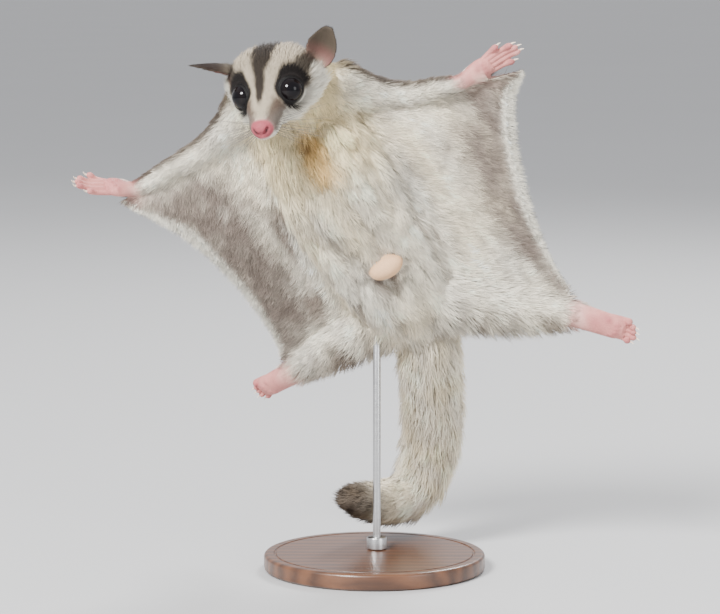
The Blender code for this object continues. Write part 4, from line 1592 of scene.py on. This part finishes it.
def make_skin(colours, voxel):
    mesh = one_skin(voxel)
    skin = new_object("skin", mesh, MADE["skin_material"])
    points = numbers(mesh.vertices, "co", 3).astype(float) / MM
    normals = numbers(mesh.vertex_normals, "vector", 3).astype(float)
    survey = Survey(points, normals)
    points = sculpted(points, normals, survey)
    mesh.vertices.foreach_set("co", flat_floats(points * MM))
    mesh.update()
    normals = numbers(mesh.vertex_normals, "vector", 3).astype(float)
    colour, bare, parting = markings(points, normals, survey, colours)
    inside = near_eyes(points, EYE_INSIDE)
    colour[inside] = colours["ring"]
    rim = near_eyes(points, LID_EDGE) & ~inside
    colour[rim] = colour[rim] * LID_EDGE_TONE
    bare[inside | rim] = 1.0
    hair = np.stack(place_hair(points, normals, survey, parting), 1)
    edges = numbers(mesh.edges, "vertices", 2, np.int32)
    off_head = body_share(points)
    survey.flow = unit(eased(survey.flow, edges, off_head, EVENED["flow"]))
    length, width, rise = eased(hair, edges, off_head, EVENED["hair"]).T
    colour = eased(colour, edges, off_head * (1 - ramp(bare, 0.2, 0.6)), EVENED["colour"])
    paint(mesh, "coat_colour", colour)
    write_values(mesh, "bare", bare)
    lie = np.column_stack([survey.reach[survey.own], survey.across[survey.own], np.zeros(len(points))])
    for number, forms in enumerate(ZONES.values()):
        lie[survey.zone == number, 0] *= forms[0].span
    write_values(mesh, "lie", lie)
    MADE["skin"] = {
        "points": points, "normals": normals, "flow": survey.flow, "zone": survey.zone, "bare": bare,
        "colour": colour, "length": length, "width": width, "rise": rise,
        "triangles": numbers(mesh.polygons, "vertices", 3, np.int32),
        "ventral": dot(normals, BODY_VENTRAL), "share": survey.reach[survey.own],
    }
    return skin


# The coat

# Where the rings of a tuft sit along it, and how wide they are.
TUFT_RINGS = {1: ((0.0, 1.0),), 2: ((0.0, 0.8), (0.48, 0.9))}
# How deep a tuft starts in the skin, and its thickness as a share of its width.
TUFT_SINK = 0.35
TUFT_FLATNESS = 0.62
# How tufts differ: a turn of their own, a turn shared with their neighbours, a sway, and ranges.
OWN_TURN, SHARED_TURN, SWAY = 0.16, 0.34, 0.07
LENGTHS, RISES, TONES = (0.7, 1.12), (0.3, 1.0), (0.93, 1.05)
# Size of a tuft's place on the unwrap.
PATCH = 0.003


def tuft_corners(rings):
    """Triangles of one closed tuft of three-sided rings and a point."""
    corners = [(2, 1, 0)]
    for ring in range(rings - 1):
        for k in range(3):
            a, b = 3 * ring + k, 3 * ring + (k + 1) % 3
            corners += [(a, b, b + 3), (a, b + 3, a + 3)]
    last, tip = 3 * (rings - 1), 3 * rings
    return np.array(corners + [(last + k, last + (k + 1) % 3, tip) for k in range(3)], np.int32)


def triangle_mesh(name, points, triangles):
    mesh = bpy.data.meshes.new(name)
    mesh.vertices.add(len(points))
    mesh.vertices.foreach_set("co", flat_floats(points * MM))
    mesh.loops.add(triangles.size)
    mesh.loops.foreach_set("vertex_index", triangles.astype(np.int32).ravel())
    mesh.polygons.add(len(triangles))
    mesh.polygons.foreach_set("loop_start", np.arange(0, triangles.size, 3, dtype=np.int32))
    mesh.update(calc_edges=True)
    return mesh


def make_tufts(name, roots, places, rings, random, clump):
    """Joined tufts. roots holds arrays of point, normal, flow, length, width, rise and colour."""
    point, normal, flow = roots["points"], roots["normals"], roots["flow"]
    length, width, rise, colour = (roots[key] for key in ("length", "width", "rise", "colour"))
    count, each = len(point), 3 * rings + 1
    side = unit(np.cross(normal, flow))
    turn = random.normal(0, OWN_TURN, count) + SHARED_TURN * soft_noise(point / 3.1, 21)
    flow = unit(flow + side * turn[:, None])
    side = unit(np.cross(normal, flow))
    length = length * random.uniform(*LENGTHS, count)
    rise = rise * random.uniform(*RISES, count) ** 0.8
    sway = random.normal(0, SWAY, count) * length
    pull, tone = np.zeros((count, 3)), np.ones(count)
    if clump:
        share = 1 / (1 + clump["spacing"] ** 2 * roots["density"])
        leaders = np.nonzero(random.random(count) < share)[0]
        lead = leaders[nearest(tree_of(point[leaders]), point)]
        pull = (point[lead] - point) * clump["strength"]
        pull -= normal * dot(pull, normal)[:, None]
        tone = 1 + clump["unevenness"] * (random.random(count)[lead] - 0.5) * 2
        rise = rise * (0.66 + 0.6 * random.random(count)[lead])
    tone = tone * random.uniform(*TONES, count)
    colour = np.clip(colour * tone[:, None], 0, 1)
    points = np.empty((count, each, 3))
    shade = np.empty_like(points)
    along = np.empty((count, each))
    for ring, (t, size) in enumerate((*TUFT_RINGS[rings], (1.0, 0.0))):
        lift = rise * (1 - (1 - t) ** 2) - TUFT_SINK * (1 - t) ** 3
        middle = point + flow * (length * t)[:, None] + normal * lift[:, None]
        middle = middle + side * (sway * t * t)[:, None] + pull * t**1.4
        for k in range(3 if size else 1):
            turn = math.pi / 2 + k * 2 * math.pi / 3
            out = side * math.cos(turn) + normal * TUFT_FLATNESS * math.sin(turn)
            points[:, 3 * ring + k] = middle + out * (0.5 * size * width)[:, None]
            shade[:, 3 * ring + k] = unit(normal * 0.75 + out * 0.5 * (size > 0) + flow * 0.12)
            along[:, 3 * ring + k] = t
    starts = np.arange(count)[:, None, None] * each
    triangles = (tuft_corners(rings)[None] + starts).reshape(-1, 3)
    mesh = triangle_mesh(name, points.reshape(-1, 3), triangles)
    piece = new_object(name, mesh, MADE["coat_material"])
    paint(mesh, "coat_colour", np.repeat(colour, each, axis=0))
    write_values(mesh, "along", along.ravel())
    spread = np.zeros((each, 2))
    spread[:, 0] = [*([0.0, 0.5, 1.0] * rings), 0.5]
    spread[:, 1] = [*np.repeat([t for t, _ in TUFT_RINGS[rings]], 3), 1.0]
    lay_out(mesh, (places[:, None] + (spread - 0.5) * PATCH).reshape(-1, 2), triangles)
    mesh.normals_split_custom_set_from_vertices(shade.reshape(-1, 3))
    return piece


def lay_out(mesh, places, triangles):
    layer = mesh.uv_layers.new(name="OFBake")
    layer.uv.foreach_set("vector", flat_floats(places[triangles.ravel()]))


def scattered(count, allowed, random):
    """Roots spread over the allowed triangles: closer where the hair is small, none where it's bare."""
    skin = MADE["skin"]
    corners = skin["triangles"][allowed]
    a, b, c = (skin["points"][corners[:, k]] for k in range(3))
    area = norms(np.cross(b - a, c - a)) / 2
    hair_size = skin["length"][corners].mean(1) * skin["width"][corners].mean(1)
    weight = area * (1 - skin["bare"][corners].mean(1)) ** 2 / hair_size.clip(0.05) ** 0.6
    total = np.cumsum(weight)
    steps = (np.arange(count) + random.random(count)) / count * total[-1]
    face = np.searchsorted(total, steps).clip(0, len(corners) - 1)
    u, v = random.random((2, count))
    flip = u + v > 1
    u, v = np.where(flip, 1 - u, u), np.where(flip, 1 - v, v)
    mix = np.stack([1 - u - v, u, v], 1)
    own = corners[face]
    roots = {"density": count / area.sum()}
    for key in ("points", "normals", "flow", "colour"):
        roots[key] = (skin[key][own] * mix[..., None]).sum(1)
    for key in ("length", "width", "rise"):
        roots[key] = (skin[key][own] * mix).sum(1)
    roots["normals"], roots["flow"] = unit(roots["normals"]), unit(roots["flow"])
    return roots


def unwrapped(points, zones):
    """Places on an unwrap of the skin: each form is rolled out flat in a strip of its own."""
    lowest = np.full(len(points), FAR)
    places = np.zeros((len(points), 2))
    for number, name in enumerate(zones):
        form = ZONES[name][0]
        _, reach, across, turn, height = form.place(points)
        place = np.clip(form.unrolled(reach, across, turn), 0, 1) * 0.94 + 0.03
        place[:, 0] = (place[:, 0] + number) / len(zones)
        closer = height < lowest
        lowest[closer] = height[closer]
        places[closer] = place[closer]
    return places


# Clumps: how far apart, how strongly the hair leans to the middle, and how their tones differ.
LIMB_CLUMP = {"spacing": 2.4, "strength": 0.6, "unevenness": 0.2}
BODY_CLUMP = {"spacing": 3.2, "strength": 0.62, "unevenness": 0.2}
FACE_CLUMP = {"spacing": 0.7, "strength": 0.35, "unevenness": 0.12}
SHEET_CLUMP = {"spacing": 1.5, "strength": 0.6, "unevenness": 0.3}
# Fringe: how far its roots reach in from the edge, and its tufts' width, rise and number per mm2.
FRINGE_DEPTH = 2.6
FRINGE_WIDTH, FRINGE_RISE, FRINGE_DENSITY = 0.24, 0.3, 12.0
FRINGE_CLUMP = {"spacing": 0.7, "strength": 0.4, "unevenness": 0.03}
PAW_ZONES = tuple(f"{kind}_{side}" for kind in PAWS for side in SIDES)
# Coat pieces: name, zones, which part of them, tufts, rings, clumps, slot.
COATS = (
    ("coat_face", ("head",), "front", 32000, 1, FACE_CLUMP, "cream_fur"),
    ("coat_crown", ("head",), "back", 8500, 2, FACE_CLUMP, "cream_fur"),
    ("coat_ears", ("ear_left", "ear_right"), "", 6000, 1, None, "grey_fur"),
    ("coat_neck", ("neck",), "", 10500, 2, BODY_CLUMP, "cream_fur"),
    ("coat_belly_left", ("trunk",), "ventral left", 15500, 2, BODY_CLUMP, "cream_fur"),
    ("coat_belly_right", ("trunk",), "ventral right", 15500, 2, BODY_CLUMP, "cream_fur"),
    ("coat_back", ("trunk",), "dorsal", 8000, 2, BODY_CLUMP, "grey_fur"),
    ("coat_tail_base", ("tail",), "near", 9500, 2, BODY_CLUMP, "cream_fur"),
    ("coat_tail_end", ("tail",), "far", 9500, 2, BODY_CLUMP, "cream_fur"),
    ("coat_arms", ("arm_left", "arm_right"), "", 10000, 2, LIMB_CLUMP, "cream_fur"),
    ("coat_legs", ("leg_left", "leg_right"), "", 11000, 2, LIMB_CLUMP, "cream_fur"),
    *(
        (f"coat_{zone}_{face}", (zone,), part, count, rings, SHEET_CLUMP, "grey_fur")
        for zone in ("membrane_left", "membrane_right")
        for face, part, count, rings in (("front", "ventral", 10000, 2), ("back", "dorsal", 7500, 1))
    ),
    ("coat_paws", PAW_ZONES, "dorsal", 2500, 1, None, "bare_skin"),
)
# Solids of a zone that has more than one.
CAD_NODES_OF = {"tail": ("tail_base", "tail_middle", "tail_tip")}
# Where the tail's coat and the head's coat are each divided in two.
TAIL_PART = 88.0
HEAD_PART = -7


def part_of_skin(zones, part):
    """Which triangles of the skin a coat piece grows on."""
    skin = MADE["skin"]
    first = skin["triangles"][:, 0]
    wanted = np.isin(skin["zone"][first], [ZONE_NAMES.index(name) for name in zones])
    if part.startswith(("ventral", "dorsal")):
        wanted &= (skin["ventral"][first] > 0) == part.startswith("ventral")
        if part.endswith(SIDES):
            left = dot(skin["points"][first] - WAIST, BODY_LEFT)
            wanted &= (left > 0) == part.endswith("left")
    elif part in ("near", "far"):
        wanted &= (skin["share"][first] < TAIL_PART) == (part == "near")
    elif part:
        wanted &= (in_head(skin["points"][first])[:, 1] > HEAD_PART) == (part == "front")
    return wanted


def cad_nodes(zones):
    return [node_name for zone in zones for node_name in CAD_NODES_OF.get(zone, (zone,))]


def make_coat(spec, seed):
    name, zones, part, count, rings, clump, slot = spec
    random = np.random.default_rng(seed)
    roots = scattered(count, part_of_skin(zones, part), random)
    if zone_kind(zones[0]) in PAWS:
        roots["colour"] = roots["colour"] * 0.4 + np.array(MADE["colours"]["white"]) * 0.6
    piece = make_tufts(name, roots, unwrapped(roots["points"], zones), rings, random, clump)
    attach(piece, "root")
    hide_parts(*cad_nodes(zones))


def make_fringe(side, count, seed):
    """White hair along a membrane's free edge."""
    random = np.random.default_rng(seed)
    sheet, spans = SHEETS[side], SHEET_GRID[0]
    place = random.random(count) * spans * 0.985 + 0.2
    low = place.astype(int).clip(0, spans - 1)
    part = (place - low)[:, None]
    edge = int(round(SHEET_GRID[1] * SHEET_REACH))

    def along_edge(grid):
        return grid[low, edge] * (1 - part) + grid[low + 1, edge] * part

    grids = (sheet.outward, sheet.down, sheet.normal)
    outward, down, normal = (unit(along_edge(grid)) for grid in grids)
    points = along_edge(sheet.points)
    width = along_edge(sheet.width[..., None])[:, 0]
    back = random.uniform(0.0, FRINGE_DEPTH, count)
    height = random.uniform(-1, 1, count)
    points = points - outward * back[:, None] + normal * (height * 0.5 * SHEET_THICKNESS)[:, None]
    facing = unit(normal * height[:, None] + outward * (0.5 * (1 - np.abs(height)))[:, None])
    to_edge = (1 - SHEET_REACH) * width + back
    short = 0.45 + 0.55 * ramp(np.minimum(place, spans - place), 0, 5)
    roots = {
        "points": points, "normals": facing, "flow": unit(outward + 0.22 * down),
        "length": (to_edge + random.uniform(0.2, 0.8, count)).clip(1.5) * 1.12 * short,
        "width": np.full(count, FRINGE_WIDTH), "rise": np.full(count, FRINGE_RISE),
        "colour": plain(MADE["colours"]["white"], count), "density": FRINGE_DENSITY,
    }
    places = unwrapped(points, (f"membrane_{side}",))
    piece = make_tufts(f"fringe_{side}", roots, places, 1, random, FRINGE_CLUMP)
    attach(piece, "root")
    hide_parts(f"membrane_{side}")


# Eyes, claws and whiskers

CORNEA_HEIGHT = 0.035
WHISKER_BEND = (0, -0.34, -0.12)


def make_eye(side, sign):
    centre = head_point(mirrored(EYE_CENTRE, sign))
    gaze = unit(unit(mirrored(EYE_GAZE, sign)) @ HEAD_AXES)
    across = unit(np.cross(gaze, HEAD_AXES[2]))
    over = np.cross(across, gaze)
    segments, rings = 64, 40
    angle = np.pi * np.arange(rings + 1)[:, None] / rings
    turn = 2 * np.pi * np.arange(segments) / segments
    radius = (EYE_RADIUS - 0.05) * (1 + CORNEA_HEIGHT * bell(np.degrees(angle), 38))
    ball = np.cos(angle)[..., None] * gaze + np.sin(angle)[..., None] * (
        np.cos(turn)[None, :, None] * across + np.sin(turn)[None, :, None] * over
    )
    rows = centre + radius[..., None] * ball
    rows[0] += 0.001 * ball[1]
    rows[-1] += 0.001 * ball[-2]
    mesh = mesh_of(f"eye_{side}", *closed_mesh(rows))
    piece = new_object(f"glass_eye_{side}", mesh, MADE["eye_material"])
    write_values(mesh, "iris", np.repeat(np.degrees(angle[:, 0]) / 90, segments).clip(0, 1))
    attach(piece, "root")
    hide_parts(f"eye_{side}")


# A direction that no swept line runs along.
SWEPT_FACING = (0.31, -0.87, 0.38)


def swept(line, radii, sides):
    """A round tube along a line, closed at both ends."""
    line = np.array(line, float)
    loft = Loft(line, np.stack([radii, radii], 1), unit(np.array(SWEPT_FACING)))
    turn = 2 * np.pi * np.arange(sides) / sides
    cos, sin = np.cos(turn)[None, :, None], np.sin(turn)[None, :, None]
    spread = loft.width[:, None] * cos + loft.depth[:, None] * sin
    return closed_mesh(line[:, None] + spread * np.asarray(radii)[:, None, None])


def joined_piece(name, tubes, material, sides):
    """Tubes joined as one piece, each with its place along it."""
    mesh = mesh_of(name, *joined([swept(line, radii, sides) for line, radii in tubes]))
    piece = new_object(name, mesh, material)
    along = [np.repeat(np.linspace(0, 1, len(line)), sides) for line, _ in tubes]
    write_values(mesh, "along", np.concatenate(along))
    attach(piece, "root")
    return piece


def claw_tubes(kind, side):
    """A claw for each digit, but for the first toe, which has none."""
    tubes = []
    for number in range(len(PAWS[kind][3])):
        if kind == "foot" and number == 0:
            continue
        _, root, heading, palm = digit_line(kind, side, number)
        t = np.linspace(0, 1, 9)[:, None]
        line = root + heading * t * (CLAW_LENGTH + 0.3) - palm * (0.35 * np.sin(np.pi * t) - 0.1)
        tubes.append((line + palm * 0.9 * t**2.2, 0.52 * (1 - t[:, 0]) ** 0.7 + 0.06))
    return tubes


def whisker_tubes(random):
    tubes = []
    for sign in (1, -1):
        for row, column in itertools.product(range(4), range(5)):
            root = head_surface(14.8 - 1.5 * column - 0.3 * row, -8 - 15 * row, 0.3)
            heading = np.array((0.95, 0.30 - 0.10 * column, 0.05 - 0.22 * row))
            heading = unit(heading + random.normal(0, 0.07, 3))
            length = 9.0 + 2.2 * column + random.uniform(-1, 1)
            t = np.linspace(0, 1, 10)[:, None]
            line = root + heading * length * t + np.array(WHISKER_BEND) * length * t**2
            line = np.array([head_point(mirrored(point, sign)) for point in line])
            tubes.append((line, 0.075 * (1 - t[:, 0]) + 0.018))
    return tubes


# The stand

# The base's foot as inset and height, its rounded edge, and the groove in its top.
BASE_FOOT = ((1.6, 0.0), (1.0, 0.25), (0.2, 0.9), (0.0, 1.8))
BASE_ROUNDING = 1.4
BASE_GROOVE = ((4.0, 0.0), (4.3, 0.45), (4.9, 0.45), (5.2, 0.0))


def turned_piece(name, profile, middle, material, sides=128):
    """A lathe-turned form: radius and height rows round a vertical line."""
    turn = 2 * np.pi * np.arange(sides) / sides
    ring = np.stack([np.cos(turn), np.sin(turn)], -1)
    rows = []
    for radius, height in profile:
        place = np.empty((sides, 3))
        place[:, :2] = np.array(middle) + ring * radius
        place[:, 2] = height
        rows.append(place)
    mesh = mesh_of(name, *closed_mesh(np.array(rows)))
    piece = new_object(name, mesh, material)
    mesh.set_sharp_from_angle(angle=math.radians(35))
    return piece


# Settings and operators

# Where the camera looks, how far off it stands, its angle down and its shift.
TARGET = (-0.006, -0.012, 0.126)
CAMERA_REACH = 1.2
CAMERA_DOWN_DEG = 6.0
CAMERA_SHIFT = -0.05
SENSOR_WIDTH = 36.0
# Studio lights: name, place and size in metres.
LIGHTS = (
    ("key", (-0.75, -1.15, 1.15), 0.55),
    ("fill", (1.1, -1.0, 0.5), 0.8),
    ("rim", (0.45, 1.0, 1.1), 0.5),
)
SKY = (0.95, 0.96, 1.0, 1.0)
SKY_STRENGTH = 0.82
FLOOR_HALF = 60


def number_property(name, description, default, low, unit_name):
    return bpy.props.FloatProperty(
        name=name, description=description, default=default, min=low, unit=unit_name
    )


class GliderSizes(bpy.types.PropertyGroup):
    """The sizes that a user would change."""

    voxel: bpy.props.FloatProperty(
        name="Skin detail", description="Size of the faces of the skin in millimetres",
        default=VOXEL, min=0.3, max=2.0,
    )
    fringe: bpy.props.IntProperty(
        name="Fringe tufts", description="Tufts along each membrane's free edge",
        default=6500, min=0, max=9000,
    )
    lens: number_property("Lens", "Focal length of the camera", 147.0, 20.0, "CAMERA")
    key_power: number_property("Key light", "Power of the main soft light", 70.0, 0.0, "POWER")
    fill_power: number_property("Fill light", "Power of the other soft light", 8.0, 0.0, "POWER")
    rim_power: number_property("Rim light", "Power of the light from behind", 20.0, 0.0, "POWER")


class GLIDER_OT_skin(bpy.types.Operator):
    """One skin for head, body, limbs, membranes and tail"""

    bl_idname = "glider.skin"
    bl_label = "Skin"

    def execute(self, context):
        settings = context.scene.glider_colours
        MADE["colours"] = {name: tuple(getattr(settings, name)) for name in COLOUR_NAMES}
        GROUPS["tone"], GROUPS["relief"] = hair_tone_group(), lie_relief_group()
        MADE["skin_material"] = skin_material()
        MADE["coat_material"] = coat_material()
        skin = make_skin(MADE["colours"], context.scene.glider_sizes.voxel)
        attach(skin, "root")
        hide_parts(*cad_nodes(ZONE_NAMES), "scrotum")
        return {"FINISHED"}


class GLIDER_OT_coat(bpy.types.Operator):
    """Tufts of hair over the skin, and the membranes' fringes"""

    bl_idname = "glider.coat"
    bl_label = "Coat"

    def execute(self, context):
        for number, spec in enumerate(COATS):
            make_coat(spec, SEED + number)
        for number, side in enumerate(SIDES):
            make_fringe(side, context.scene.glider_sizes.fringe, SEED + 50 + number)
        return {"FINISHED"}


class GLIDER_OT_eyes(bpy.types.Operator):
    """Two dark glossy eyes"""

    bl_idname = "glider.eyes"
    bl_label = "Eyes"

    def execute(self, context):
        MADE["eye_material"] = eye_material()
        for side, sign in zip(SIDES, (1, -1)):
            make_eye(side, sign)
        return {"FINISHED"}


class GLIDER_OT_claws(bpy.types.Operator):
    """Claws of hands and feet, and the whiskers"""

    bl_idname = "glider.claws"
    bl_label = "Claws and Whiskers"

    def execute(self, context):
        horn = horn_material()
        for kind, side in itertools.product(PAWS, SIDES):
            joined_piece(f"claws_{kind}_{side}", claw_tubes(kind, side), horn, 10)
        random = np.random.default_rng(SEED + 90)
        joined_piece("whiskers", whisker_tubes(random), whisker_material(), 5)
        return {"FINISHED"}


class GLIDER_OT_stand(bpy.types.Operator):
    """Varnished base with a brushed rod and collar"""

    bl_idname = "glider.stand"
    bl_label = "Stand"

    def execute(self, context):
        low, high = (np.array(corner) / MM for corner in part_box("stand_base"))
        radius, height = (high[0] - low[0]) / 2, high[2]
        profile = [(0.5, 0.0)]
        profile += [(radius - inset, rise) for inset, rise in BASE_FOOT]
        for angle in np.linspace(0.15, math.pi / 2, 7):
            inset, rise = BASE_ROUNDING * (1 - math.cos(angle)), BASE_ROUNDING * math.sin(angle)
            profile.append((radius - inset, height - BASE_ROUNDING + rise))
        profile += [(radius - inset, height - depth) for inset, depth in BASE_GROOVE]
        profile.append((0.5, height))
        base = turned_piece("base", profile, (0, 0), wood_material())
        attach(base, "root")
        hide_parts("stand_base")
        steel = steel_material()
        for node_name, piece_name in (("stand_rod", "rod"), ("stand_collar", "collar")):
            low, high = (np.array(corner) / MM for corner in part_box(node_name))
            middle, radius = (low[:2] + high[:2]) / 2, (high[0] - low[0]) / 2
            foot, top = low[2], high[2]
            profile = [(0.2, foot), (radius - 0.3, foot), (radius, foot + 0.3), (radius, top - 0.5)]
            profile += [(radius - 0.15, top - 0.15), (radius - 0.5, top), (0.2, top)]
            piece = turned_piece(piece_name, profile, middle, steel, 64)
            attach(piece, "root")
            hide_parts(node_name)
        return {"FINISHED"}


def area_light(name, place, size, power):
    data = bpy.data.lights.new(name, "AREA")
    data.shape, data.size, data.energy = "DISK", size, power
    light = bpy.data.objects.new(name, data)
    light.location = place
    light.rotation_euler = (Vector(TARGET) - Vector(place)).to_track_quat("-Z", "Y").to_euler()
    bpy.context.scene.collection.objects.link(light)


class GLIDER_OT_stage(bpy.types.Operator):
    """Pale floor, soft light and the camera"""

    bl_idname = "glider.stage"
    bl_label = "Stage"

    def execute(self, context):
        sizes = context.scene.glider_sizes
        points = [(x * FLOOR_HALF, y * FLOOR_HALF, 0) for x, y in ((-1, -1), (1, -1), (1, 1), (-1, 1))]
        mesh = bpy.data.meshes.new("floor")
        mesh.from_pydata(points, [], [(0, 1, 2, 3)])
        new_object("floor", mesh, floor_material())
        for name, place, size in LIGHTS:
            area_light(name, place, size, getattr(sizes, f"{name}_power"))
        world = bpy.data.worlds.new("studio")
        world.use_nodes = True
        background = world.node_tree.nodes["Background"]
        background.inputs["Color"].default_value = SKY
        background.inputs["Strength"].default_value = SKY_STRENGTH
        context.scene.world = world
        data = bpy.data.cameras.new("camera")
        data.lens, data.sensor_width = sizes.lens, SENSOR_WIDTH
        data.shift_y = CAMERA_SHIFT
        camera = bpy.data.objects.new("camera", data)
        down = math.radians(CAMERA_DOWN_DEG)
        camera.location = Vector(TARGET) + Vector((0, -math.cos(down), math.sin(down))) * CAMERA_REACH
        camera.rotation_euler = (math.pi / 2 - down, 0, 0)
        context.scene.collection.objects.link(camera)
        context.scene.camera = camera
        return {"FINISHED"}


OPERATORS = (
    GLIDER_OT_skin, GLIDER_OT_coat, GLIDER_OT_eyes, GLIDER_OT_claws, GLIDER_OT_stand, GLIDER_OT_stage,
)


class GLIDER_PT_panel(bpy.types.Panel):
    bl_label = "Sugar Glider"
    bl_space_type = "VIEW_3D"
    bl_region_type = "UI"
    bl_category = "Glider"

    def draw(self, context):
        layout = self.layout
        for operator in OPERATORS:
            layout.operator(operator.bl_idname)
        for settings in (context.scene.glider_sizes, context.scene.glider_colours):
            box = layout.box()
            for name in settings.__annotations__:
                box.prop(settings, name)


CLASSES = (GliderColours, GliderSizes, *OPERATORS, GLIDER_PT_panel)


def register():
    for cls in CLASSES:
        bpy.utils.register_class(cls)
    bpy.types.Scene.glider_colours = bpy.props.PointerProperty(type=GliderColours)
    bpy.types.Scene.glider_sizes = bpy.props.PointerProperty(type=GliderSizes)


def unregister():
    del bpy.types.Scene.glider_sizes
    del bpy.types.Scene.glider_colours
    for cls in reversed(CLASSES):
        bpy.utils.unregister_class(cls)


def main():
    register()
    bpy.ops.glider.skin()
    bpy.ops.glider.coat()
    bpy.ops.glider.eyes()
    bpy.ops.glider.claws()
    bpy.ops.glider.stand()
    bpy.ops.glider.stage()


if __name__ == "__main__":
    main()
